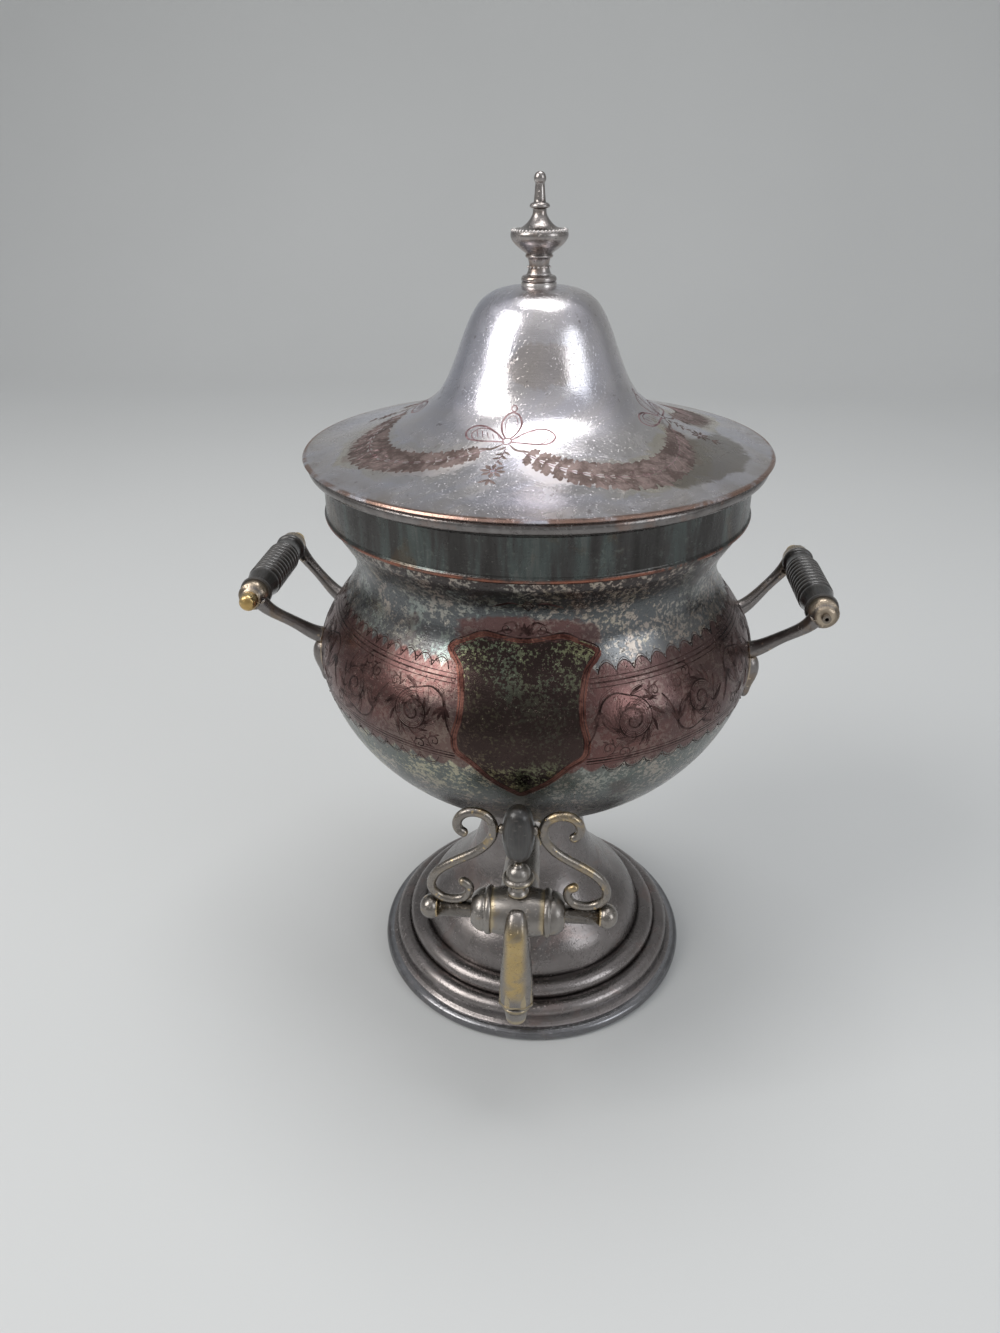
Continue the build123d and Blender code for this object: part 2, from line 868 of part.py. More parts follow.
def grip_outline():
    Line((rod_radius + touch, -grip_half), (7.4, -grip_half))
    here = (7.4, -grip_half)
    stops = [(7.7, -grip_half + 1.4), (7.2, -grip_half + 2.6), (6.2, -grip_half + 3.2)]
    stops += [(6.9, 8.0 - grip_half), (7.8, -swell)]
    for i in range(rib_count):
        foot_y = (i - rib_count / 2) * rib_pitch
        stops += [(7.0, foot_y), (8.2, foot_y + 1.1), (8.2, foot_y + 2.5)]
    stops += [(7.0, rib_count / 2 * rib_pitch), (7.8, swell), (6.9, grip_half - 8.0)]
    stops += [(6.2, grip_half - 3.2), (7.2, grip_half - 2.6), (7.7, grip_half - 1.4)]
    stops += [(7.4, grip_half), (rod_radius + touch, grip_half)]
    for stop in stops:
        Line(here, stop)
        here = stop
    Line(here, (rod_radius + touch, -grip_half))


with BuildPart() as left_grip:
    with BuildSketch(Plane((-grip_x, 0, grip_z), x_dir=(1, 0, 0), z_dir=(0, 0, 1))):
        with BuildLine():
            grip_outline()
        make_face()
    revolve(axis=Axis((-grip_x, 0, grip_z), (0, 1, 0)))

left_grip.part.label = "left_grip"
export_step(left_grip.part, "parts/left_grip.step")

with BuildPart() as right_grip:
    with BuildSketch(Plane((grip_x, 0, grip_z), x_dir=(1, 0, 0), z_dir=(0, 0, 1))):
        with BuildLine():
            grip_outline()
        make_face()
    revolve(axis=Axis((grip_x, 0, grip_z), (0, 1, 0)))

right_grip.part.label = "right_grip"
export_step(right_grip.part, "parts/right_grip.step")

# rods through the grips
with BuildPart() as left_rod:
    with BuildSketch(Plane.XZ.offset(grip_half + 10)):
        with Locations((-grip_x, grip_z)):
            Circle(rod_radius)
    extrude(amount=-2 * (grip_half + 10))

left_rod.part.label = "left_rod"
export_step(left_rod.part, "parts/left_rod.step")

with BuildPart() as right_rod:
    with BuildSketch(Plane.XZ.offset(grip_half + 10)):
        with Locations((grip_x, grip_z)):
            Circle(rod_radius)
        with Locations((grip_x, grip_z)):
            Circle(0.9, mode=Mode.SUBTRACT)
    extrude(amount=-2 * (grip_half + 10))

right_rod.part.label = "right_rod"
export_step(right_rod.part, "parts/right_rod.step")

# cast arms: a round boss on the rod, a slim curved arm and a knuckle on the bowl
arm_radii = [3.9, 3.0, 2.9, 3.5, 4.6]


def arm_run(side, end):
    foot_spot = on_bowl(arm_foot_angle, bowl_radius(arm_foot_z) - 2.2, arm_foot_z)
    middle = [
        (grip_x - 3.4, grip_half + 3.6, grip_z - 2.4),
        (grip_x - 9.6, grip_half + 1.2, grip_z - 10.0),
        (grip_x - 17.6, grip_half - 3.0, grip_z - 17.0),
        (grip_x - 23.6, grip_half - 5.6, grip_z - 22.2),
        foot_spot,
    ]
    return [(side * x, end * y, z) for x, y, z in middle]


def boss_plane(side, end):
    return Plane((side * grip_x, end * grip_half, grip_z), x_dir=(1, 0, 0), z_dir=(0, end, 0))


for side, side_name in ((-1, "left"), (1, "right")):
    for end, end_name in ((-1, "front"), (1, "back")):
        with BuildPart() as arm:
            run = Spline(*arm_run(side, end), mode=Mode.PRIVATE)
            steps = len(arm_radii) - 1
            for i, thick in enumerate(arm_radii):
                with BuildSketch(Plane(run @ (i / steps), z_dir=run % (i / steps))):
                    Circle(thick)
            loft()
            with BuildSketch(boss_plane(side, end)):
                Circle(6.6)
            extrude(amount=5.2)
            with BuildSketch(boss_plane(side, end).offset(5.2)):
                Circle(4.9)
            extrude(amount=2.6)
            with BuildSketch(boss_plane(side, end)):
                Circle(rod_radius + touch)
            extrude(amount=20, both=True, mode=Mode.SUBTRACT)
            with BuildSketch(boss_plane(side, end)):
                Circle(9)
            extrude(amount=-20, mode=Mode.SUBTRACT)
            add(bowl_block.part, mode=Mode.SUBTRACT)
        arm.part.label = side_name + "_" + end_name + "_arm"
        export_step(arm.part, "parts/" + side_name + "_" + end_name + "_arm.step")
        # drop-shaped leaf below the knuckle
        leaf_reach = bowl_radius(arm_foot_z - 12.0) - 1.1
        leaf_x, leaf_y, leaf_z = on_bowl(arm_foot_angle + 0.5, leaf_reach, arm_foot_z)
        with BuildPart() as leaf:
            leaf_plane = Plane((side * leaf_x, end * leaf_y, 0), x_dir=(1, 0, 0), z_dir=(0, -1, 0))
            with BuildSketch(leaf_plane):
                with BuildLine():
                    outline(
                        (0, leaf_z - 25.0),
                        [
                            (1.6, leaf_z - 23.9),
                            (3.0, leaf_z - 19.5),
                            (5.2, leaf_z - 12.5),
                            (5.4, leaf_z - 6.0),
                            (3.4, leaf_z - 2.1),
                        ],
                        [(0, leaf_z - 1.5)],
                    )
                make_face()
            revolve(axis=Axis((side * leaf_x, end * leaf_y, 0), (0, 0, 1)))
            add(bowl_block.part, mode=Mode.SUBTRACT)
            add(arm.part, mode=Mode.SUBTRACT)
        leaf.part.label = side_name + "_" + end_name + "_leaf"
        export_step(leaf.part, "parts/" + side_name + "_" + end_name + "_leaf.step")

# domed cap nuts on three of the four rod ends; the fourth is bare
nut_start = grip_half + 7.8
with BuildPart() as cap_nuts:
    for side, end in ((-1, -1), (-1, 1), (1, 1)):
        spot = Plane((side * grip_x, end * nut_start, grip_z), x_dir=(1, 0, 0), z_dir=(0, 0, end))
        with BuildSketch(spot):
            with BuildLine():
                outline(
                    (rod_radius + touch, 0),
                    [(4.1, 0)],
                    [(4.1, 3.6)],
                    [(3.4, 5.4), (1.9, 6.3), (0, 6.6)],
                    [(0, 2.4)],
                    [(rod_radius + touch, 2.4)],
                )
            make_face()
        revolve(axis=Axis((side * grip_x, 0, grip_z), (0, 1, 0)))

cap_nuts.part.label = "cap_nuts"
export_step(cap_nuts.part, "parts/cap_nuts.step")
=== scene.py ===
from functools import partial
from math import atan2, cos, pi, radians, sin, sqrt

import bmesh
import bpy
import numpy as np
from bpy.props import FloatProperty, FloatVectorProperty, IntProperty, PointerProperty
from mathutils import Matrix, Vector


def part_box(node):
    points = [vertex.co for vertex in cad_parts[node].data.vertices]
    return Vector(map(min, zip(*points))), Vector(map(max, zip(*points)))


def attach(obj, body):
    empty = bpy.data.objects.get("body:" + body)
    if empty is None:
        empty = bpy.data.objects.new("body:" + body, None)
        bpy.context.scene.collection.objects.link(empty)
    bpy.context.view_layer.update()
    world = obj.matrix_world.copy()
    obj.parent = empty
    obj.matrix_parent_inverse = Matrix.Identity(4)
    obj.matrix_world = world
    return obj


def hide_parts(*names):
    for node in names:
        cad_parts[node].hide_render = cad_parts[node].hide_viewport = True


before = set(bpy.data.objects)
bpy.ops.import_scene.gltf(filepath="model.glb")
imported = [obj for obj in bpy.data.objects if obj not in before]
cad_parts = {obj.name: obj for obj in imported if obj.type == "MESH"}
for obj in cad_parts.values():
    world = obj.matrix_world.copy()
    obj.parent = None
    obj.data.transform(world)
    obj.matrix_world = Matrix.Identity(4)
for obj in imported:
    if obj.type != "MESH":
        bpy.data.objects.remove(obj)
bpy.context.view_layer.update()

bl_info = {
    "name": "Hot-water urn finish",
    "version": (1, 0, 0),
    "blender": (4, 5, 0),
    "location": "View3D > Sidebar > Urn",
    "description": "Surfaces, engraving, fittings and studio for a silver-plated hot-water urn",
    "category": "Object",
}

MM = 0.001
DEGREES = 57.29578  # in a radian

# outlines as radius and height in mm; each run is one smooth line and starts where the last one ends
FOOT = [
    [(83.5, 0.6)], [(83.5, 6.3)], [(81.6, 7.4), (80.6, 9.6)],
    [(80.7, 12.8), (78.6, 15.2), (75.2, 16.2), (72.7, 15.6)],
    [(72.7, 18.6), (70.6, 21.4), (66.8, 22.7), (63.4, 22.0)],
    [(62, 26.5), (60, 31.5), (56.6, 36.6), (51.6, 41.8), (46.4, 47), (41.6, 52.4), (37.2, 58.2),
     (33.8, 64.6), (31.2, 71.4), (29.2, 80), (28.2, 89), (27.8, 98), (28.6, 108)],
]
BOWL = [[
    (28, 112), (35, 114), (43, 116.8), (51, 120.5), (58.4, 124.9), (66.2, 130.6), (78.4, 140.6),
    (87.6, 150.4), (95, 160.4), (100.6, 170.4), (104.6, 180.2), (107.4, 190), (108.1, 199),
    (105.8, 210), (100, 220), (92.6, 230), (88, 238.5), (86.9, 246), (88.8, 253.5), (92.8, 260.5),
    (96.2, 266.6), (96.9, 270.5)], [(96.9, 290)],
]
# the spout's run from inside the barrel to its mouth: forwards and up from the barrel's axis in mm,
# lean of the section, half width and depth
SPOUT = [(1.5, 3.2, 0.98, 4.0, 7.0), (7.4, 3.8, 0.9, 4.6, 9.5), (11.3, -1.2, 0.55, 5.3, 11.2),
         (10.9, -9.5, 0.12, 5.85, 15.2), (11.7, -20.0, 0.0, 6.75, 13.8), (12.0, -31.0, 0.0, 7.35, 12.8),
         (12.2, -41.4, 0.0, 7.7, 12.4)]
# the bulb above the barrel: radius, and height above the barrel's axis
KNOP = [[(0.001, 11.4)], [(4.8, 11.4)], [(4.8, 11.8), (3.6, 13.6), (3.2, 15.6)], [(3.9, 17.0), (6.5, 18.4)],
        [(7.1, 19.6), (6.4, 20.8)], [(5.4, 21.2)], [(5.2, 23.2), (3.8, 25.4), (2.0, 26.6)],
        [(1.5, 27.4), (0.001, 28.0)]]
LID = [
    [(106.1, 296.3)], [(107, 297.1), (106.4, 297.9)],
    [(98, 299.6), (89, 301.4), (79, 304.1), (69, 307.5), (60, 311.2), (52, 315.2), (45.6, 320.2),
     (41.2, 326.4), (37.8, 333.5), (34.8, 341), (32, 348), (28.8, 354.6), (25, 359.8),
     (20, 363.2), (14, 365), (9, 365.5)], [(1.75, 365.5)],
]

# the shield's right half: azimuth in degrees and height in mm
SHIELD = [(0, 240.2), (5.5, 241.4), (11, 242.6), (15.5, 239.6), (20.4, 235.2), (17.2, 229.5),
          (14.8, 220), (14.3, 211), (15.3, 200.5), (14.6, 194.5), (11.6, 190.2), (6.4, 179.6), (0, 170.6)]
# the copper band: degrees to each side of the front that its scallops leave free for the shield, the
# height of its middle, and its borders as height, way the scallops point and width of their line
SHIELD_SIDE = 19.0
BAND_MIDDLE = 208.4
BORDERS = ((226.2, 1, 0.7), (189.8, -1, 0.6))
# the plain lines of its borders: degrees left free for the shield, then height and width of each line
BORDER_LINES = ((16.5, ((225.2, 0.5), (223.6, 0.9), (222.0, 0.5))),
                (14.9, ((193.6, 0.5), (192.2, 0.9), (190.8, 0.5))))
# azimuth in degrees of the lid's first bow, of four
KNOT = -9.5


# Shapes

def add_object(name, data):
    made = bpy.data.objects.new(name, data)
    bpy.context.scene.collection.objects.link(made)
    return made


def smooth_run(points, step):
    """A smooth line through points, with the first point left out."""
    p = np.array(points, float)
    if len(p) == 2:
        count = max(1, int(np.linalg.norm(p[1] - p[0]) / (step * 3)))
        return [p[0] + (p[1] - p[0]) * k / count for k in range(1, count + 1)]
    out = []
    for i in range(len(p) - 1):
        a, b = p[i], p[i + 1]
        before = p[i - 1] if i else 2 * a - b
        after = p[i + 2] if i + 2 < len(p) else 2 * b - a
        gap, left, right = (max(1e-9, np.linalg.norm(v)) for v in (b - a, a - before, after - b))
        slope_a = ((b - a) / gap * left + (a - before) / left * gap) / (left + gap)
        slope_b = ((after - b) / right * gap + (b - a) / gap * right) / (right + gap)
        for t in np.linspace(0, 1, max(2, int(gap / step) + 1))[1:]:
            h = (2 * t**3 - 3 * t**2 + 1, t**3 - 2 * t**2 + t, 3 * t**2 - 2 * t**3, t**3 - t**2)
            out.append(h[0] * a + h[1] * slope_a * gap + h[2] * b + h[3] * slope_b * gap)
    return out


def outline(runs, step=1.5):
    """All the points of some runs."""
    line = [np.array(runs[0][0], float)]
    if len(runs[0]) > 1:
        line += smooth_run(runs[0], step)
    for run in runs[1:]:
        line += smooth_run([line[-1], *run], step)
    return np.array(line)


def new_piece(name, vertices, faces, uvs=None, angle=35):
    """A mesh object at the origin, merged, with its faces turned outwards and shaded smooth."""
    mesh = bpy.data.meshes.new(name)
    mesh.from_pydata([tuple(v) for v in vertices], [], faces)
    if uvs is not None:
        layer = mesh.uv_layers.new(name="UVMap")
        flat = np.array([uvs[k] for face in faces for k in face], np.float32)
        layer.data.foreach_set("uv", flat.ravel())
    return finish_mesh(name, mesh, angle)


def finish_mesh(name, mesh, angle):
    """The object of a merged mesh, with sharp edges only above an angle in degrees."""
    work = bmesh.new()
    work.from_mesh(mesh)
    bmesh.ops.remove_doubles(work, verts=work.verts, dist=2e-6)
    bmesh.ops.dissolve_degenerate(work, dist=1e-6, edges=work.edges)
    bmesh.ops.recalc_face_normals(work, faces=work.faces)
    work.to_mesh(mesh)
    work.free()
    mesh.polygons.foreach_set("use_smooth", [True] * len(mesh.polygons))
    mesh.set_sharp_from_angle(angle=radians(angle))
    return add_object(name, mesh)


def turned(name, line, steps, place=None):
    """A closed outline in mm turned round its own axis, which place carries to where it belongs."""
    line = np.asarray(line, float)
    count = len(line)
    travel = np.concatenate([[0], np.cumsum(np.linalg.norm(np.diff(line, axis=0), axis=1))])
    vertices, uvs, faces = [], [], []
    for k in range(steps + 1):
        turn = 2 * pi * k / steps - pi
        for (r, h), far in zip(line, travel):
            vertices.append((r * sin(turn) * MM, -r * cos(turn) * MM, h * MM))
            uvs.append((k / steps, far / 100))
    for k in range(steps):
        for i in range(count - 1):
            a = k * count + i
            faces.append((a, a + count, a + count + 1, a + 1))
    if place is not None:
        vertices = [place @ Vector(v) for v in vertices]
    return new_piece(name, vertices, faces, uvs)


def copy_of(name, node):
    """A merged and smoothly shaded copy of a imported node, to carry a finish."""
    mesh = bpy.data.meshes.new(name)
    work = bmesh.new()
    work.from_mesh(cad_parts[node].data)
    work.to_mesh(mesh)
    work.free()
    return finish_mesh(name, mesh, 32)


def settle(piece, body, slot, material, *nodes):
    piece.data.materials.clear()
    piece.data.materials.append(MATERIALS[material])
    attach(piece, body)
    if nodes:
        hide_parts(*nodes)


def dress(name, node, body, slot, material):
    """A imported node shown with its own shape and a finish."""
    settle(copy_of(name, node), body, slot, material, node)


class Skin:
    """The outside of a turned piece, on which lines are laid by azimuth and by the way along its outline."""

    def __init__(self, runs):
        self.line = outline(runs, 0.8)
        self.far = np.concatenate(
            [[0], np.cumsum(np.linalg.norm(np.diff(self.line, axis=0), axis=1))])
        slope = np.gradient(self.line, axis=0)
        slope /= np.maximum(np.linalg.norm(slope, axis=1), 1e-9)[:, None]
        self.out = np.stack([slope[:, 1], -slope[:, 0]], 1)

    def at_height(self, z):
        return float(np.interp(z, self.line[:, 1], self.far))

    def at_radius(self, r):
        return float(np.interp(-r, -self.line[:, 0], self.far))

    def radius(self, far):
        return float(np.interp(far, self.far, self.line[:, 0]))

    def point(self, turn, far, lift):
        r, z = (np.interp(far, self.far, self.line[:, k]) for k in (0, 1))
        nr, nz = (np.interp(far, self.far, self.out[:, k]) for k in (0, 1))
        r, z = r + nr * lift, z + nz * lift
        out = Vector((nr * sin(turn), -nr * cos(turn), nz))
        return Vector((r * sin(turn), -r * cos(turn), z)) * MM, out

    def lay(self, path, turn, far, hand=1):
        """A motif drawn in mm round (0, 0), laid at an azimuth in degrees and a way along the outline."""
        middle = radians(turn)
        return [(middle + x * hand / max(8.0, self.radius(far + y * 0.5)), far + y) for x, y in path]


class Lines:
    """Cut lines and filled strokes, gathered into one mesh on a skin."""

    def __init__(self, skin):
        self.skin, self.vertices, self.faces = skin, [], []

    def stroke(self, path, width, taper=0.0, lift=0.05):
        """path is (azimuth in radians, way along the outline in mm); taper 1 points both ends."""
        if len(path) < 2:
            return
        spots = [self.skin.point(a, s, 0) for a, s in path]
        first = len(self.vertices)
        for k, (spot, out) in enumerate(spots):
            run = spots[min(k + 1, len(spots) - 1)][0] - spots[max(k - 1, 0)][0]
            if run.length < 1e-9:
                run = Vector((0, 0, 1))
            side = out.cross(run).normalized()
            t = k / (len(spots) - 1)
            half = width / 2 * (1 - taper + taper * sin(pi * min(1, t * 0.96 + 0.02)) ** 0.8)
            for across, up in ((-1, -0.02), (0, lift), (1, -0.02)):
                self.vertices.append(spot + (side * (across * half) + out * up) * MM)
        for k in range(len(spots) - 1):
            for i in (0, 1):
                a = first + 3 * k + i
                self.faces.append((a, a + 1, a + 4, a + 3))

    def ring(self, far, width, gap):
        """A line round the skin that leaves a gap of some degrees on both sides of the front."""
        sweep = (360 - gap) - gap
        count = int(sweep * 2)
        self.stroke([(radians(gap + sweep * k / count), far) for k in range(count + 1)], width)

    def piece(self, name):
        return new_piece(name, self.vertices, self.faces, None, 60)


def circle(x, y, radius, steps=15):
    return [(x + radius * cos(t), y + radius * sin(t)) for t in np.linspace(0, 2 * pi, steps)]


def spiral(radius, start, turns, hand, steps=44):
    """From the rim inwards, ending near a tenth of the radius."""
    out = []
    for k in range(steps + 1):
        t = k / steps
        turn = radians(start) + hand * 2 * pi * turns * t
        reach = radius * (1 - 0.86 * t**0.85)
        out.append((reach * cos(turn), reach * sin(turn)))
    return out


def bent(length, bend, steps=9):
    """A stroke from (0, 0) along +x that bends to one side."""
    return [(length * t, bend * t * t) for t in np.linspace(0, 1, steps)]


def along(path, share):
    """Point and heading at a share of a path."""
    p = np.array(path, float)
    k = min(len(p) - 2, int(share * (len(p) - 1)))
    d = p[k + 1] - p[k]
    return p[k], atan2(d[1], d[0])


def turned_to(path, angle, spot=(0, 0)):
    c, s = cos(angle), sin(angle)
    return [(spot[0] + x * c - y * s, spot[1] + x * s + y * c) for x, y in path]


def grown(path, size):
    return [(x * size, y * size) for x, y in path]


def moved(path, across, up):
    return [(x + across, y + up) for x, y in path]


def sprig(path, share, length, bend, lean):
    """A bent stroke that grows from a path at a share of it and leans away from its heading."""
    spot, heading = along(path, share)
    return turned_to(bent(length, bend), heading + lean, spot)


# Shader parts

class Graph:
    """Short ways to add and join nodes in a tree."""

    def __init__(self, tree):
        self.tree = tree

    def add(self, kind, inputs=None, **settings):
        node = self.tree.nodes.new(kind)
        for key, value in settings.items():
            setattr(node, key, value)
        for key, value in (inputs or {}).items():
            self.put(node.inputs[key], value)
        return node

    def put(self, socket, value):
        if isinstance(value, bpy.types.NodeSocket):
            self.tree.links.new(value, socket)
        else:
            socket.default_value = (*value, 1.0) if socket.type == "RGBA" else value

    def math(self, operation, a, b=0.0, c=0.0):
        return self.add("ShaderNodeMath", {0: a, 1: b, 2: c}, operation=operation).outputs[0]

    def times(self, a, b):
        return self.math("MULTIPLY", a, b)

    def plus(self, a, b):
        return self.math("ADD", a, b)

    def minus(self, a, b):
        return self.math("SUBTRACT", a, b)

    def span(self, value, low, high, to_low=0.0, to_high=1.0):
        return self.add("ShaderNodeMapRange",
                        {0: value, 1: low, 2: high, 3: to_low, 4: to_high},
                        interpolation_type="SMOOTHSTEP").outputs[0]

    def noise(self, vector, scale, detail=3.0, rough=0.55, warp=0.0, out="Fac"):
        return self.add("ShaderNodeTexNoise", {"Vector": vector, "Scale": scale, "Detail": detail,
                                               "Roughness": rough, "Distortion": warp}).outputs[out]

    def mix(self, factor, a, b, blend="MIX"):
        return self.add("ShaderNodeMix", {0: factor, 6: a, 7: b}, data_type="RGBA",
                        blend_type=blend).outputs[2]

    def over(self, under, shade, mask, share):
        """A shade laid over a colour where the mask is, at a share of its strength."""
        return self.mix(self.times(mask, share), under, shade)

    def ramp(self, value, stops):
        node = self.add("ShaderNodeValToRGB", {0: value})
        ramp = node.color_ramp
        while len(ramp.elements) < len(stops):
            ramp.elements.new(0.5)
        for element, (position, colour) in zip(ramp.elements, stops):
            element.position = position
            element.color = (*colour, 1)
        return node.outputs[0]

    def scaled(self, vector, x, y, z):
        return self.add("ShaderNodeVectorMath", {0: vector, 1: (x, y, z)},
                        operation="MULTIPLY").outputs[0]

    def give(self, **outs):
        """The finished tree, with an output for each value."""
        for name, value in outs.items():
            kind = {"VALUE": "Float", "VECTOR": "Vector"}.get(value.type, name)
            self.tree.interface.new_socket(name=name, in_out="OUTPUT", socket_type="NodeSocket" + kind)
        self.add("NodeGroupOutput", outs)
        return self.tree


def new_tree(name, kind="ShaderNodeTree", **ins):
    """The graph of a new node tree and its inputs, from their names and starting values."""
    tree = bpy.data.node_groups.new(name, kind)
    for label, default in ins.items():
        of_kind = {float: "Float", int: "Int"}.get(type(default), label)
        socket = tree.interface.new_socket(name=label.replace("_", " "), in_out="INPUT",
                                           socket_type="NodeSocket" + of_kind)
        if default is not None:
            socket.default_value = default
    g = Graph(tree)
    return g, g.add("NodeGroupInput").outputs


def group_round():
    """Azimuth in degrees, radius and height in mm, from object coordinates."""
    g, ins = new_tree("Round Coordinates", Vector=None)
    x, y, z = g.add("ShaderNodeSeparateXYZ", {0: ins["Vector"]}).outputs
    turn = g.times(g.math("ARCTAN2", x, g.times(y, -1.0)), DEGREES)
    wide = g.math("SQRT", g.plus(g.times(x, x), g.times(y, y)))
    return g.give(Azimuth=turn, Radius=g.times(wide, 1000.0), Height=g.times(z, 1000.0))


def group_tarnish():
    """Cloudy stains, fine speckle and a slow drift of tint on old plate."""
    g, ins = new_tree("Plate Tarnish", Vector=None, Stain_Size=24.0, Stain_Share=0.5,
                      Speckle_Size=420.0, Speckle_Share=0.4)
    where = ins["Vector"]
    cloud = g.noise(where, ins["Stain Size"], 6.0, 0.62, 0.7)
    low = g.minus(0.74, g.times(ins["Stain Share"], 0.42))
    fine = g.noise(where, ins["Speckle Size"], 4.0, 0.7, 0.2)
    patch = g.noise(where, g.times(ins["Stain Size"], 2.6), 3.0, 0.5, 0.4)
    edge = g.minus(0.7, g.times(ins["Speckle Share"], 0.3))
    edge = g.plus(edge, g.times(g.minus(0.5, patch), 0.45))
    return g.give(Stain=g.span(cloud, low, g.plus(low, 0.12)), Speckle=g.span(fine, edge, g.plus(edge, 0.07)),
                  Drift=g.noise(where, 11.0, 4.0, 0.6, 1.1), Bloom=g.noise(where, 55.0, 5.0, 0.65, 0.5))


def group_marks():
    """A normal with slow hammered waves, polishing hairlines and pits, and a roughness value."""
    g, ins = new_tree("Handled Metal", Vector=None, Waves=0.4, Hairlines=0.3, Pits=0.3,
                      Roughness=0.25)
    where = ins["Vector"]
    slow = g.noise(where, 26.0, 2.0, 0.5)
    hair = g.noise(g.scaled(where, 90.0, 90.0, 1500.0), 1.0, 3.0, 0.6)
    cross = g.noise(g.scaled(where, 1400.0, 1300.0, 160.0), 1.0, 3.0, 0.6)
    pit = g.span(g.noise(where, 900.0, 2.0, 0.5), 0.62, 0.72)
    one = g.add("ShaderNodeBump", {"Strength": ins["Waves"], "Distance": 0.004, "Height": slow})
    two = g.add("ShaderNodeBump", {"Strength": ins["Hairlines"], "Distance": 0.0002,
                                   "Height": g.plus(hair, cross), "Normal": one.outputs[0]})
    three = g.add("ShaderNodeBump", {"Strength": ins["Pits"], "Distance": 0.0003, "Height": pit,
                                     "Normal": two.outputs[0]}, invert=True)
    smear = g.times(g.minus(g.noise(where, 70.0, 5.0, 0.65, 0.8), 0.5), 0.34)
    return g.give(Normal=three.outputs[0], Rough=g.plus(ins["Roughness"], smear))


def group_wear():
    """Where an edge stands proud and has been rubbed, and where dirt lies in a hollow."""
    g, ins = new_tree("Edge Wear", Vector=None, Reach=0.06)
    point = g.add("ShaderNodeNewGeometry").outputs["Pointiness"]
    ragged = g.times(g.minus(g.noise(ins["Vector"], 160.0, 4.0, 0.6), 0.5), 0.06)
    value = g.plus(point, ragged)
    return g.give(Worn=g.span(value, 0.51, g.plus(0.51, ins["Reach"])),
                  Dirt=g.span(value, 0.49, g.minus(0.49, ins["Reach"])))


def group_patch():
    """A soft ragged patch at an azimuth and a height or radius."""
    g, ins = new_tree("Soft Patch", Across=0.0, Up=0.0, Ragged=0.5, Centre_Across=0.0,
                      Centre_Up=0.0, Half_Across=20.0, Half_Up=10.0)
    off = [g.math("DIVIDE", g.minus(ins[way], ins["Centre " + way]), ins["Half " + way])
           for way in ("Across", "Up")]
    far = g.math("SQRT", g.plus(*(g.times(value, value) for value in off)))
    far = g.plus(far, g.times(g.minus(ins["Ragged"], 0.5), 1.1))
    return g.give(Mask=g.span(far, 1.05, 0.85))


def group_grain():
    """Close dark wood grain that runs along one axis."""
    g, ins = new_tree("Black Wood Grain", Vector=None)
    fibre = g.noise(ins["Vector"], 1.0, 5.0, 0.6, 0.3)
    return g.give(Grain=g.span(fibre, 0.35, 0.7), Sheen=g.noise(ins["Vector"], 0.35, 3.0, 0.6, 0.6))


GROUPS = {}
MATERIALS = {}


def build_groups():
    for maker in (group_round, group_tarnish, group_marks, group_wear, group_patch, group_grain):
        tree = maker()
        GROUPS[tree.name] = tree


class Surface(Graph):
    """One material: its principled shader and the shared groups it draws on."""

    def __init__(self, name):
        self.name = name
        self.material = bpy.data.materials.new(name + "_finish")
        self.material.use_nodes = True
        super().__init__(self.material.node_tree)
        self.tree.nodes.clear()
        self.shader = self.add("ShaderNodeBsdfPrincipled")
        self.add("ShaderNodeOutputMaterial", {"Surface": self.shader.outputs[0]})
        self.where = self.add("ShaderNodeTexCoord").outputs["Object"]

    def group(self, name, **inputs):
        node = self.add("ShaderNodeGroup", node_tree=GROUPS[name])
        for key, value in {"Vector": self.where, **inputs}.items():
            if key.replace("_", " ") in node.inputs:
                self.put(node.inputs[key.replace("_", " ")], value)
        return node.outputs

    def age(self, stain_size, stain_share, speckle_size, speckle_share):
        return self.group("Plate Tarnish", Stain_Size=stain_size, Stain_Share=stain_share,
                          Speckle_Size=speckle_size, Speckle_Share=speckle_share)

    def shade(self, **inputs):
        for key, value in inputs.items():
            self.put(self.shader.inputs[key.replace("_", " ")], value)

    def marks(self, **inputs):
        made = self.group("Handled Metal", **inputs)
        self.shade(Normal=made["Normal"], Roughness=made["Rough"])
        return made

    def bump(self, strength, distance, height):
        made = self.add("ShaderNodeBump", {"Strength": strength, "Distance": distance, "Height": height})
        self.shade(Normal=made.outputs[0])

    def patch(self, across, up, ragged, centre_across, centre_up, half_across, half_up):
        return self.group("Soft Patch", Across=across, Up=up, Ragged=ragged, Centre_Across=centre_across,
                          Centre_Up=centre_up, Half_Across=half_across, Half_Up=half_up)["Mask"]

    def done(self, colour, metallic=1.0):
        self.shade(Base_Color=colour, Metallic=metallic)
        MATERIALS[self.name] = self.material


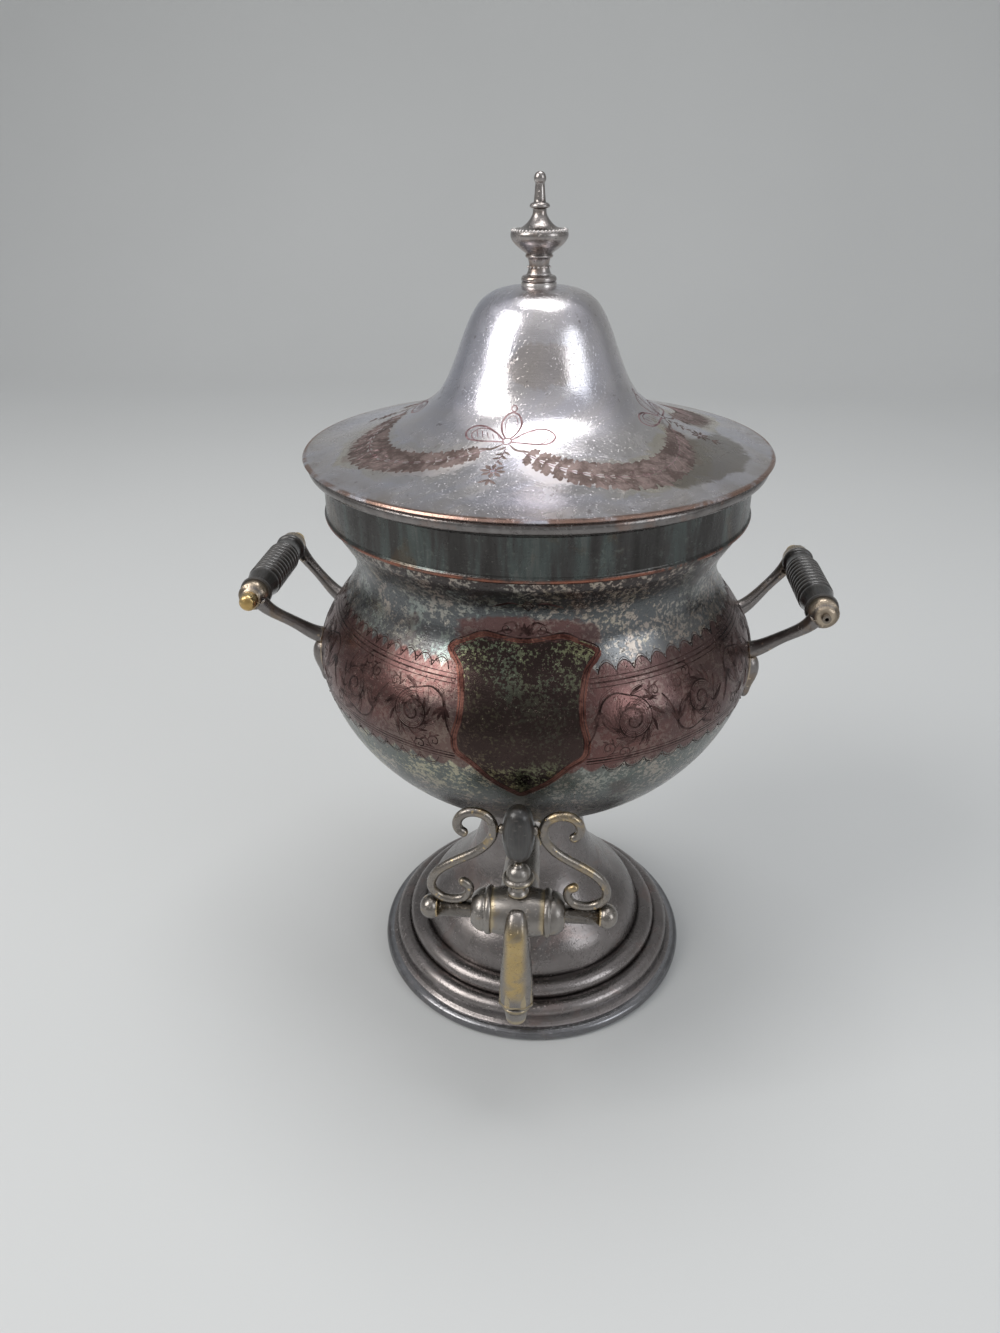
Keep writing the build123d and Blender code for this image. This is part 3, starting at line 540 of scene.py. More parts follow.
def silver_bowl(look):
    """Bright speckled plate above and below a band where the copper shows, its borders scalloped."""
    s = Surface("silver_bowl")
    spot = s.group("Round Coordinates")
    age = s.age(30.0, 0.5, 480.0, 0.62 * look.tarnish)
    sway = s.times(s.minus(age["Bloom"], 0.5), 10.0)
    height = s.math("DIVIDE", s.minus(s.plus(spot["Height"], sway), 112.0), 178.0)
    # the plate's tones by height: dark for its tarnish, and in part a painted reflection of a dark room
    plate = s.ramp(height, [
        (0.0, (0.15, 0.15, 0.15)), (0.26, (0.17, 0.172, 0.172)), (0.38, (0.14, 0.16, 0.15)),
        (0.46, (0.175, 0.165, 0.15)), (0.62, (0.2, 0.195, 0.19)), (0.7, (0.15, 0.155, 0.16)),
        (0.8, (0.105, 0.112, 0.115)), (0.87, (0.07, 0.06, 0.058)), (1.0, (0.03, 0.03, 0.032))])
    # bright tarnish colours on the speckle, which also stand as painted glints on the dark plate
    tint = s.ramp(age["Drift"], [(0.3, (0.16, 0.29, 0.29)), (0.45, (0.38, 0.39, 0.35)),
                                 (0.55, (0.5, 0.42, 0.36)), (0.68, (0.56, 0.53, 0.36))])
    colour = s.over(plate, tint, age["Speckle"], 0.7)
    rust = s.ramp(age["Bloom"], [(0.35, (0.11, 0.055, 0.045)), (0.65, (0.085, 0.095, 0.095))])
    colour = s.over(colour, rust, age["Stain"], 0.5)
    turn = s.minus(spot["Azimuth"], SHIELD_SIDE)
    lobe = s.math("ABSOLUTE", s.math("SINE", s.times(turn, pi * look.lobes / (360.0 - 2 * SHIELD_SIDE))))
    ragged = s.times(s.minus(age["Bloom"], 0.5), 3.0)
    lobe = s.plus(s.times(lobe, 3.4), ragged)
    above = s.minus(spot["Height"], s.plus(226.6, lobe))
    below = s.minus(spot["Height"], s.minus(189.6, lobe))
    band = s.times(s.span(above, 0.7, -0.7), s.span(below, -0.7, 0.7))
    copper = s.ramp(age["Drift"], [(0.3, (0.11, 0.06, 0.058)), (0.48, (0.15, 0.074, 0.068)),
                                   (0.6, (0.12, 0.076, 0.073)), (0.72, (0.185, 0.12, 0.1))])
    # lighter speckle on the copper: tarnish, and also painted glints
    copper = s.over(copper, (0.3, 0.25, 0.22), age["Speckle"], 0.22)
    cloud = s.noise(s.where, 75.0, 5.0, 0.7, 0.8)
    head = s.patch(spot["Azimuth"], spot["Height"], cloud, 0.0, 241.0, 21.0, 9.5)
    band = s.math("MAXIMUM", band, s.times(head, 0.9))
    colour = s.over(colour, copper, band, 0.93)
    s.marks(Waves=0.28, Hairlines=0.25, Pits=0.5, Roughness=0.27)
    s.done(colour)


def silver_lid(look):
    """Bright bluish plate with a taupe bloom round the festoons and a faint warm cast on the dome."""
    s = Surface("silver_lid")
    spot = s.group("Round Coordinates")
    age = s.age(26.0, 0.35, 300.0, 0.22 * look.tarnish)
    base = s.ramp(age["Drift"], [(0.3, (0.56, 0.57, 0.66)), (0.45, (0.66, 0.65, 0.72)),
                                 (0.56, (0.7, 0.67, 0.69)), (0.7, (0.62, 0.59, 0.57))])
    colour = s.over(base, (0.5, 0.46, 0.44), age["Stain"], 0.3)
    ragged = s.noise(s.where, 60.0, 6.0, 0.68, 0.8)
    turn = s.minus(s.math("WRAP", spot["Azimuth"], 90.0 + KNOT, KNOT), 45.0 + KNOT)
    swag = s.plus(81.5, s.times(s.times(turn, turn), -0.0125))
    off = s.math("ABSOLUTE", s.minus(spot["Radius"], swag))
    off = s.plus(off, s.times(s.minus(ragged, 0.5), 26.0))
    ends = s.span(s.math("ABSOLUTE", turn), 40.0, 32.0)
    halo = s.times(s.span(off, 14.5, 11.5), ends)
    bloom = s.times(s.span(off, 9.0, 6.5), ends)
    share = s.span(s.noise(s.where, 9.0, 2.0, 0.5), 0.38, 0.6, 0.25, 1.0)
    colour = s.over(colour, (0.6, 0.54, 0.4), s.times(halo, share), 0.6)
    colour = s.over(colour, (0.27, 0.215, 0.2), s.times(bloom, share), 0.85)
    right = s.patch(spot["Azimuth"], spot["Radius"], ragged, 60.0, 84.0, 30.0, 14.0)
    colour = s.over(colour, (0.25, 0.22, 0.185), right, 0.8)
    cast = s.patch(spot["Azimuth"], spot["Height"], ragged, 8.0, 339.0, 26.0, 9.0)
    colour = s.over(colour, (0.52, 0.43, 0.36), cast, 0.35)
    rim = s.times(s.span(spot["Radius"], 90.0, 107.0), s.span(age["Bloom"], 0.35, 0.65))
    colour = s.over(colour, (0.42, 0.36, 0.31), rim, 0.6)
    edge = s.times(s.span(spot["Radius"], 104.6, 105.8), s.span(age["Bloom"], 0.34, 0.5))
    colour = s.over(colour, (0.32, 0.17, 0.115), edge, 0.8)
    dark = s.span(age["Speckle"], 0.6, 1.0)
    colour = s.over(colour, (0.12, 0.08, 0.06), dark, 0.4)
    made = s.marks(Waves=0.22, Hairlines=0.25, Pits=0.25, Roughness=0.25)
    s.shade(Roughness=s.plus(made["Rough"], s.times(bloom, 0.16)))
    s.done(colour)


def silver_plain(name, light, dark, warm, roughness, reach=0.06, waves=0.3, brass=None):
    """Plate on turned and cast work: light where rubbed, dark in hollows, warm where the plate is thin."""
    s = Surface(name)
    age = s.age(48.0, 0.5, 650.0, 0.3)
    wear = s.group("Edge Wear", Reach=reach)
    colour = s.mix(age["Bloom"], dark, light)
    colour = s.over(colour, warm, age["Stain"], 0.5)
    colour = s.over(colour, [0.45 * v for v in dark], age["Speckle"], 0.4)
    colour = s.over(colour, (0.035, 0.03, 0.028), wear["Dirt"], 0.8)
    colour = s.over(colour, brass or [min(1.0, 1.25 * v) for v in light], wear["Worn"], 0.85)
    s.marks(Waves=waves, Hairlines=0.3, Pits=0.45, Roughness=roughness)
    s.done(colour)


def spout_silver():
    """The spout's casting, its plate worn through to yellow metal down the middle of the front."""
    s = Surface("spout_silver")
    age = s.age(48.0, 0.4, 650.0, 0.3)
    colour = s.mix(age["Bloom"], (0.16, 0.145, 0.135), (0.37, 0.345, 0.325))
    colour = s.over(colour, (0.07, 0.06, 0.055), age["Speckle"], 0.4)
    part = s.add("ShaderNodeSeparateXYZ", {0: s.scaled(s.where, 1000.0, 1000.0, 1000.0)}).outputs
    ragged = s.noise(s.where, 170.0, 5.0, 0.65, 0.6)
    across = s.span(s.math("ABSOLUTE", s.plus(part[0], 0.4)), 6.2, 2.2)
    upward = s.times(s.span(part[2], 76.0, 84.0), s.span(part[2], 123.0, 114.0))
    worn = s.times(s.times(across, upward), s.span(part[1], -121.0, -126.5))
    worn = s.times(worn, s.span(ragged, 0.32, 0.5, 0.45, 1.0))
    brass = s.mix(age["Bloom"], (0.36, 0.25, 0.1), (0.66, 0.5, 0.24))
    colour = s.over(colour, brass, worn, 0.9)
    s.marks(Waves=0.3, Hairlines=0.3, Pits=0.45, Roughness=0.27)
    s.done(colour)


def silver_collar():
    """Nearly black band with painted upright streaks of reflection, dull teal and olive, its lower lip worn
    to copper.
    """
    s = Surface("silver_collar")
    spot = s.group("Round Coordinates")
    # upright streaks of painted reflection: noise stretched along the height, turned into light and dark
    # tones by the ramp below
    upright = s.noise(s.scaled(s.where, 95.0, 95.0, 12.0), 1.0, 5.0, 0.65, 0.3)
    age = s.age(40.0, 0.45, 420.0, 0.35)
    colour = s.ramp(upright, [(0.3, (0.04, 0.038, 0.036)), (0.48, (0.075, 0.072, 0.07)),
                              (0.6, (0.1, 0.115, 0.11)), (0.72, (0.17, 0.165, 0.155))])
    colour = s.over(colour, (0.12, 0.09, 0.062), age["Stain"], 0.5)
    colour = s.over(colour, (0.17, 0.19, 0.17), age["Speckle"], 0.35)
    lip = s.times(s.span(spot["Height"], 271.6, 270.6), s.span(age["Bloom"], 0.36, 0.56))
    colour = s.over(colour, (0.33, 0.13, 0.085), lip, 0.85)
    s.marks(Waves=0.35, Hairlines=0.3, Pits=0.5, Roughness=0.27)
    s.done(colour)


def cut_lines(name, dark, light, roughness):
    """The cut of an engraved line: dark with dirt, bright where its edge catches light."""
    s = Surface(name)
    broken = s.noise(s.where, 130.0, 4.0, 0.6, 0.4)
    fine = s.noise(s.where, 900.0, 2.0, 0.5)
    share = s.span(s.plus(broken, s.times(fine, 0.25)), 0.5, 0.74)
    colour = s.mix(share, dark, light)
    s.marks(Waves=0.2, Hairlines=0.4, Pits=0.5, Roughness=roughness)
    s.done(colour)


def shield_field():
    """Nearly black ground with more glints towards the shield's top and foot."""
    s = Surface("shield_field")
    spot = s.group("Round Coordinates")
    age = s.age(38.0, 0.5, 640.0, 0.62)
    ends = s.math("MAXIMUM", s.span(spot["Height"], 214.0, 236.0), s.span(spot["Height"], 196.0, 178.0))
    glint = s.times(age["Speckle"], s.plus(0.15, s.times(ends, 0.8)))
    base = s.mix(age["Bloom"], (0.03, 0.022, 0.02), (0.07, 0.048, 0.044))
    tint = s.ramp(age["Drift"], [(0.35, (0.12, 0.17, 0.14)), (0.5, (0.3, 0.3, 0.17)),
                                 (0.65, (0.34, 0.25, 0.18))])
    colour = s.mix(glint, base, tint)
    s.marks(Waves=0.3, Hairlines=0.25, Pits=0.5, Roughness=0.26)
    s.done(colour)


def ebony(name, sx, sy, sz):
    """Polished black wood, its edges rubbed; the three scales lay its grain along one axis."""
    s = Surface(name)
    grain = s.group("Black Wood Grain", Vector=s.scaled(s.where, sx, sy, sz))
    colour = s.mix(grain["Grain"], (0.006, 0.0055, 0.005), (0.026, 0.021, 0.018))
    wear = s.group("Edge Wear", Reach=0.05)
    colour = s.over(colour, (0.075, 0.066, 0.06), wear["Worn"], 0.6)
    dust = s.span(s.noise(s.where, 60.0, 5.0, 0.65), 0.52, 0.75)
    colour = s.over(colour, (0.09, 0.085, 0.08), dust, 0.25)
    rough = s.plus(0.3, s.times(grain["Sheen"], 0.18))
    s.bump(0.35, 0.0003, grain["Grain"])
    s.shade(Roughness=rough, Coat_Weight=0.8, Coat_Roughness=0.22)
    s.done(colour, 0.0)


def studio_paper():
    """Grey paper with a faint tooth."""
    s = Surface("studio_paper")
    tone = s.mix(s.noise(s.where, 1.3, 3.0, 0.5), (0.58, 0.59, 0.59), (0.64, 0.65, 0.65))
    s.bump(0.08, 0.0005, s.noise(s.where, 420.0, 3.0, 0.6))
    s.shade(Roughness=0.62)
    s.done(tone, 0.0)


def build_materials(look):
    build_groups()
    silver_bowl(look)
    silver_lid(look)
    silver_collar()
    shield_field()
    silver_plain("silver_foot", (0.3, 0.275, 0.27), (0.16, 0.145, 0.14), (0.25, 0.185, 0.17), 0.27)
    silver_plain("silver_rim", (0.24, 0.225, 0.22), (0.11, 0.1, 0.095), (0.26, 0.15, 0.11), 0.24, 0.04)
    silver_plain("silver_bead", (0.32, 0.32, 0.335), (0.11, 0.108, 0.112), (0.18, 0.155, 0.15), 0.22)
    silver_plain("cast_silver", (0.3, 0.28, 0.27), (0.13, 0.115, 0.11), (0.24, 0.17, 0.11), 0.3, 0.05,
                 brass=(0.5, 0.41, 0.31))
    silver_plain("tap_silver", (0.37, 0.345, 0.32), (0.17, 0.155, 0.145), (0.32, 0.24, 0.15), 0.3, 0.05,
                 brass=(0.46, 0.38, 0.25))
    silver_plain("wire_silver", (0.36, 0.33, 0.3), (0.15, 0.135, 0.125), (0.6, 0.42, 0.17), 0.27, 0.05,
                 brass=(0.58, 0.44, 0.24))
    spout_silver()
    silver_plain("silver_finial", (0.54, 0.51, 0.5), (0.2, 0.17, 0.155), (0.32, 0.21, 0.15), 0.24, 0.05)
    silver_plain("brass_nut", (0.62, 0.43, 0.17), (0.36, 0.23, 0.09), (0.24, 0.13, 0.06), 0.28, 0.05,
                 0.2, (0.8, 0.62, 0.33))
    silver_plain("iron_rod", (0.22, 0.19, 0.16), (0.1, 0.08, 0.065), (0.2, 0.09, 0.04), 0.48, 0.05)
    cut_lines("bowl_cut", (0.02, 0.012, 0.011), (0.085, 0.05, 0.046), 0.42)
    cut_lines("bowl_leaf", (0.036, 0.02, 0.019), (0.125, 0.072, 0.066), 0.4)
    cut_lines("shield_line", (0.085, 0.034, 0.028), (0.2, 0.09, 0.07), 0.34)
    cut_lines("lid_cut", (0.16, 0.09, 0.095), (0.38, 0.27, 0.28), 0.5)
    cut_lines("lid_leaf", (0.14, 0.105, 0.095), (0.27, 0.21, 0.195), 0.52)
    ebony("ebony_grip", 900.0, 45.0, 900.0)
    ebony("ebony_oval", 900.0, 900.0, 60.0)
    studio_paper()


# Repeats by geometry nodes

def set_out(g, points, shape, scale, material):
    """The shape on every point, made real, smooth and coated."""
    copies = g.add("GeometryNodeInstanceOnPoints", {"Points": points, "Instance": shape, "Scale": scale})
    real = g.add("GeometryNodeRealizeInstances", {"Geometry": copies.outputs[0]})
    smooth = g.add("GeometryNodeSetShadeSmooth", {"Geometry": real.outputs[0]})
    coat = g.add("GeometryNodeSetMaterial", {"Geometry": smooth.outputs[0], "Material": material})
    g.tree.is_modifier = True
    return g.give(Geometry=coat.outputs[0])


def ring_group():
    """Beads set round a circle."""
    g, ins = new_tree("Bead Ring", "GeometryNodeTree", Geometry=None, Count=24, Ring_Radius=0.01, Height=0.0,
                      Bead_Radius=0.001, Material=None)
    ring = g.add("GeometryNodeMeshCircle", {"Vertices": ins["Count"], "Radius": ins["Ring Radius"]})
    rise = g.add("ShaderNodeCombineXYZ", {2: ins["Height"]})
    lifted = g.add("GeometryNodeTransform", {"Geometry": ring.outputs[0], "Translation": rise.outputs[0]})
    bead = g.add("GeometryNodeMeshUVSphere", {"Segments": 12, "Rings": 8, "Radius": ins["Bead Radius"]})
    return set_out(g, lifted.outputs[0], bead.outputs[0], (1.0, 1.0, 1.0), ins["Material"])


def stud_group():
    """Small domes on given points."""
    g, ins = new_tree("Punched Dots", "GeometryNodeTree", Geometry=None, Dot_Radius=0.0005, Variation=0.2,
                      Seed=7, Material=None)
    dot = g.add("GeometryNodeMeshIcoSphere", {"Radius": ins["Dot Radius"], "Subdivisions": 2})
    odd = g.add("FunctionNodeRandomValue", {"Seed": ins["Seed"], 2: g.minus(1.0, ins["Variation"]), 3: 1.0},
                data_type="FLOAT")
    return set_out(g, ins["Geometry"], dot.outputs[0], odd.outputs[1], ins["Material"])


def baked(name, tree, points, **inputs):
    """A plain mesh object made by one run of a geometry group on some points."""
    mesh = bpy.data.meshes.new(name + "_points")
    mesh.from_pydata(points, [], [])
    maker = add_object(name + "_maker", mesh)
    modifier = maker.modifiers.new("Repeat", "NODES")
    modifier.node_group = tree
    for item in tree.interface.items_tree:
        key = item.name.replace(" ", "_")
        if item.item_type == "SOCKET" and item.in_out == "INPUT" and key in inputs:
            modifier[item.identifier] = inputs[key]
    bpy.context.view_layer.update()
    made = bpy.data.meshes.new_from_object(maker.evaluated_get(bpy.context.evaluated_depsgraph_get()))
    made.name = name
    bpy.data.objects.remove(maker)
    return add_object(name, made)


def joined(name, pieces):
    """Several plain mesh objects as one."""
    work = bmesh.new()
    for piece in pieces:
        work.from_mesh(piece.data)
        bpy.data.objects.remove(piece)
    mesh = bpy.data.meshes.new(name)
    work.to_mesh(mesh)
    work.free()
    return add_object(name, mesh)


# Engraving

def leafy(lines, motif, leaves, place, width, stems):
    """A stem with leaves from alternate sides that lean forward along it."""
    stems.stroke(place(motif), 0.55)
    for k in range(leaves):
        side = 1 if k % 2 else -1
        leaf = sprig(motif, (k + 0.7) / (leaves + 0.4), width * 2.1, side * width * 0.5, side * 0.75)
        lines.stroke(place(leaf), width, 1.0, 0.09)


def border_lines(skin, cut, count):
    """Plain lines, scallops and rays along both borders; gives back where the punched dots go."""
    for gap, lines in BORDER_LINES:
        for z, width in lines:
            cut.ring(skin.at_height(z), width, gap)
    pitch = (360 - 2 * SHIELD_SIDE) / count
    dots = []
    for k in range(count):
        start = SHIELD_SIDE + pitch * k
        for z, way, width in BORDERS:
            far = skin.at_height(z)
            dots.append((start, far + way * 2.2))
            for deep, wide in ((4.6, width), (5.8, 0.35)):
                cut.stroke([(radians(start + pitch * t), far + way * deep * sin(pi * t) ** 0.7)
                            for t in np.linspace(0, 1, 11)], wide)
        for z, way, width in BORDERS:
            for tilt in (-0.45, 0.0, 0.45):
                ray = turned_to([(1.6, 0), (4.2, 0)], way * pi / 2 + tilt)
                cut.stroke(skin.lay(ray, start + pitch / 2, skin.at_height(z)), 0.45, 0.6)
    return dots


def scroll(cut, leaf, place, up, radius):
    """One leaf scroll of the band; up is 1 where its stem comes from above and -1 from below."""
    coil = spiral(radius, -90 * up, 1.9, up)
    cut.stroke(place(coil), 1.0, 0.35, 0.08)
    cut.stroke(place(grown(coil[:34], 0.86)), 0.4)
    stem = [(-21.5, up * 9.5), (-18, up * 4), (-15.4, -up * 3), (-12.6, -up * 9.4), (-7, -up * 12.4),
            (0, -up * radius)]
    cut.stroke(place(smooth_run(stem, 1.6)), 1.1, 0.3, 0.08)
    for size in (1.1, 1.19, 1.28):
        cut.stroke(place(grown(coil[3:25], size)), 0.3, 0.3)
    for shift in (1.0, 1.9, 2.8):
        cut.stroke(place(smooth_run(moved(stem[:5], 0, -up * shift), 1.6)), 0.28, 0.4)
    for size in (0.76, 0.66):
        cut.stroke(place(grown(coil[:30], size)), 0.26)
    for j in range(7):
        spot, heading = along(coil, 0.02 + 0.085 * j)
        for shift in (-1.3, -0.5, 0.4, 1.3):
            root = (spot[0] - shift * sin(heading), spot[1] + shift * cos(heading))
            plume = turned_to(bent(8.4 - abs(shift), up * 3.2), heading - up, root)
            cut.stroke(place(plume), 0.3, 0.7, 0.09)
    for j in range(15):
        plume = sprig(coil, 0.01 + 0.043 * j, 7.6 - 0.34 * j, up * 1.5, -up * 0.85)
        leaf.stroke(place(plume), 1.7 - 0.05 * j, 0.95, 0.1)
        cut.stroke(place(grown(plume[2:], 1.03)), 0.3)
    for j in range(8):
        leaf.stroke(place(sprig(coil, 0.1 + 0.075 * j, 2.6, up * 0.8, up * 0.9)), 0.9, 0.9, 0.08)
    for across, rise, hand in ((-11.6, up * 10.8, -up), (-4.6, up * 14.0, -up), (12.2, -up * 10.2, up)):
        curl = moved(spiral(3.6, 90 * up, 1.4, hand, 20), across, rise)
        cut.stroke(place(curl), 0.7, 0.3, 0.08)
        for j in range(4):
            leaf.stroke(place(sprig(curl, 0.05 + 0.1 * j, 3.0, 0.6 * hand, -hand * 0.9)), 1.0, 0.9, 0.1)
    for j in range(6):
        petal = turned_to([(0.5, 0), (2.5, 0)], radians(60 * j + 15))
        leaf.stroke(place(petal), 1.3, 0.9, 0.1)
    for j in range(4):
        plume = turned_to(bent(7.2 - 0.8 * j, up * 2.2), up * (0.5 + 0.42 * j), (-15.0, -up * 5.5))
        leaf.stroke(place(plume), 2.0, 0.95, 0.1)
    for across, rise in ((-10.2, up * 10.6), (10.0, -up * 10.6), (10.4, up * 10.8)):
        for j in range(5):
            shift = (j - 2) * 0.95
            for lean in (-2, 2):
                hatch = [(across - 2 + shift, rise + lean), (across + 2 + shift, rise - lean)]
                cut.stroke(place(hatch), 0.28)


def shield_lines(skin, cut, leaf, edge):
    """The shield's wide copper border and the lines round it, the fan over it and a lozenge on the neck."""
    half = smooth_run(SHIELD, 1.0)
    for lines, size, width, lift in ((cut, 1.0, 0.7, 0.13), (edge, 0.963, 3.9, 0.08),
                                     (cut, 0.963, 0.4, 0.13), (cut, 0.925, 0.6, 0.13)):
        path = [(radians(side * az * size), skin.at_height(207 + (z - 207) * size))
                for side, line in ((1, half), (-1, half[::-1])) for az, z in line]
        lines.stroke(path + path[:1], width, 0.0, lift)
    fan = partial(skin.lay, turn=0.2, far=skin.at_height(241.0))
    for j in range(-3, 4):
        petal = turned_to([(1.2, 0), (3.5, 0), (6.4 - 0.5 * abs(j), 0)], pi / 2 - 0.38 * j)
        leaf.stroke(fan(petal), 2.1, 0.95, 0.12)
        cut.stroke(fan(petal), 0.3)
    for hand in (-1, 1):
        for reach, rise in ((12.0, 1.2), (9.0, 5.0), (16.0, -2.5)):
            sweep = smooth_run([(2.0, 0.4), (reach * 0.5, rise + 1.6), (reach, rise)], 1.0)
            leaf.stroke(fan(sweep, hand=hand), 1.5, 0.9, 0.1)
        cut.stroke(fan(moved(spiral(2.6, 200, 1.2, 1, 22), 7.4, 3.4), hand=hand), 0.6)
    gem = partial(skin.lay, turn=1.2, far=skin.at_height(256.5))
    diamond = [(0, 3.2), (2.3, 0), (0, -3.2), (-2.3, 0), (0, 3.2)]
    cut.stroke(gem(diamond), 0.8)
    cut.stroke(gem(grown(diamond, 0.5)), 0.5)
    for hand in (-1, 1):
        tail = smooth_run([(2.6, 0), (6.5, 1.6), (10.5, 0.2), (14.5, -1.8)], 1.2)
        leaf.stroke(gem(tail, hand=hand), 1.7, 0.9, 0.1)
        cut.stroke(gem([(2.6, -1.0), (8, -1.2), (12, -3)], hand=hand), 0.5)


def bowl_engraving(settings):
    skin = Skin(BOWL)
    cut, leaf, edge = Lines(skin), Lines(skin), Lines(skin)
    dots = border_lines(skin, cut, settings.scallops)
    for side in (-1, 1):
        for k in range(8):
            turn = side * (26.0 + 19.7 * k)
            place = partial(skin.lay, turn=turn, far=skin.at_height(BAND_MIDDLE), hand=side)
            scroll(cut, leaf, place, 1 if k % 2 else -1, settings.scroll_radius)
    shield_lines(skin, cut, leaf, edge)
    spots = [tuple(skin.point(radians(a), s, 0.0)[0]) for a, s in dots]
    return cut.piece("bowl_cut_lines"), leaf.piece("bowl_cut_leaves"), edge.piece("shield_outline"), spots


def shield_plate():
    """The smooth dark field inside the shield's outline."""
    skin = Skin(BOWL)
    half = np.array(smooth_run(SHIELD, 0.7))
    heights = np.linspace(171.5, 239.5, 90)
    order = np.argsort(half[:, 1])
    wide = np.interp(heights, half[order, 1], half[order, 0]) * 0.955
    vertices, faces, count = [], [], 33
    for z, w in zip(heights, wide):
        for t in np.linspace(-1, 1, count):
            vertices.append(skin.point(radians(w * t), skin.at_height(z), 0.03)[0])
    for i in range(len(heights) - 1):
        for k in range(count - 1):
            a = i * count + k
            faces.append((a, a + 1, a + count + 1, a + count))
    return new_piece("shield_plate", vertices, faces, None, 60)


def bow(cut, leaf, place):
    """A tied bow with its tails, and the upright loop above its knot."""
    for hand in (-1, 1):
        for size, width in ((1.0, 1.2), (0.84, 0.6)):
            wing = [(1.2, 0.4), (6, 4.6), (12, 7.2), (17, 6.4), (19.6, 2.8), (17.4, -0.6), (12, -1.2),
                    (6, -0.6), (1.2, -0.4)]
            wing = [(1.2 + (x - 1.2) * size, 0.5 + (y - 0.5) * size) for x, y in wing]
            cut.stroke(place(smooth_run(wing, 1.0), hand=hand), width, 0.0, 0.07)
        for j in range(5):
            fold = [(3.5 + 2.4 * j, 1.0), (4.6 + 2.6 * j, 3.2 + 0.5 * min(j, 3))]
            cut.stroke(place(fold, hand=hand), 0.35)
        tail = smooth_run([(0.8, -1.2), (5, -5.2), (9.5, -6.0), (13, -9.2)], 1.0)
        leaf.stroke(place(tail, hand=hand), 1.7, 0.7, 0.08)
        loop = smooth_run([(0.4, 0.8), (3.4, 5.5), (4.4, 10.5), (2.2, 14.2), (0, 15.0)], 1.0)
        cut.stroke(place(loop, hand=hand), 1.1, 0.0, 0.07)
        cut.stroke(place([(x * 0.62, 1.5 + y * 0.8) for x, y in loop], hand=hand), 0.45)
    cut.stroke(place(circle(0, 0, 1.9, 17)), 0.9, 0.0, 0.1)
    cut.stroke(place(circle(0, 16.6, 1.3)), 0.7, 0.0, 0.1)


def hanging_flower(cut, leaf, place):
    """A leafy stem from the bow's knot, with a flower and three leaves at its end."""
    leafy(leaf, smooth_run([(0, -2), (0.4, -6), (-0.3, -10), (-1.0, -13.6)], 1.2), 6, place, 1.5, cut)
    for j in range(8):
        petal = turned_to([(1.1, 0), (3.0, 0), (4.7, 0)], radians(45 * j))
        leaf.stroke(place(moved(petal, -1.2, -19.0)), 2.3, 0.85, 0.12)
    cut.stroke(place(circle(-1.2, -19.0, 1.2)), 0.6, 0.0, 0.12)
    for j in (-1, 0, 1):
        petal = turned_to(bent(4.2, 0.5 * j), -pi / 2 + 0.7 * j, (-1.4, -24.6))
        leaf.stroke(place(petal), 1.7, 0.95, 0.1)


def festoon(skin, cut, leaf, knot, leaves):
    """Lobed leaves along a run that hangs from one bow to the next, and three flowers at its middle."""
    spread = 75  # the run is drawn flat, in mm at this radius

    def place(path):
        return [(a / spread, s) for a, s in path]

    way = [(7, 61.5), (13, 66), (20, 71), (31, 77), (45, 80.8), (59, 77), (70, 71), (77, 66), (83, 61.5)]
    run = smooth_run([(radians(knot + a) * spread, skin.at_radius(r)) for a, r in way], 1.0)
    cut.stroke(place(run), 0.7, 0.0, 0.07)
    for j in range(leaves):
        share = (j + 0.5) / leaves
        size = 1.0 + 0.9 * sin(pi * share)
        for side in (-1, 1):
            lean = side * (0.85 if share < 0.5 else pi - 0.85)
            path = sprig(run, share, 6.6 * size, side * 1.2, lean)
            leaf.stroke(place(path), 3.1 * size, 0.9, 0.1)
            cut.stroke(place(path[:7]), 0.35, 0.0, 0.14)
            for far, tilt in ((0.35, 0.9), (0.35, -0.9), (0.62, 0.8), (0.62, -0.8)):
                root, heading = along(path, far)
                lobe = turned_to(bent(2.6 * size, 0.0, 5), heading + tilt, root)
                leaf.stroke(place(lobe), 1.5 * size, 0.8, 0.12)
    spot = along(run, 0.5)[0]
    for across, up, size in ((0, 0, 1.0), (-4.6, 3.0, 0.62), (4.8, 2.8, 0.62)):
        middle = (spot[0] + across, spot[1] + up)
        for j in range(6):
            petal = [(1.2 * size, 0), (3.0 * size, 0), (4.8 * size, 0)]
            petal = turned_to(petal, radians(60 * j + 20), middle)
            leaf.stroke(place(petal), 2.8 * size, 0.8, 0.14)
        cut.stroke(place(circle(*middle, 1.2 * size)), 0.5, 0.0, 0.15)


def lid_engraving(settings):
    skin = Skin(LID)
    cut, leaf = Lines(skin), Lines(skin)
    for k in range(4):
        knot = KNOT + 90 * k
        place = partial(skin.lay, turn=knot, far=skin.at_radius(56.0))
        bow(cut, leaf, place)
        hanging_flower(cut, leaf, place)
        festoon(skin, cut, leaf, knot, settings.festoon_leaves)
    return cut.piece("lid_cut_lines"), leaf.piece("lid_cut_leaves")


# Pieces

STEPS = 288  # round a turned shell


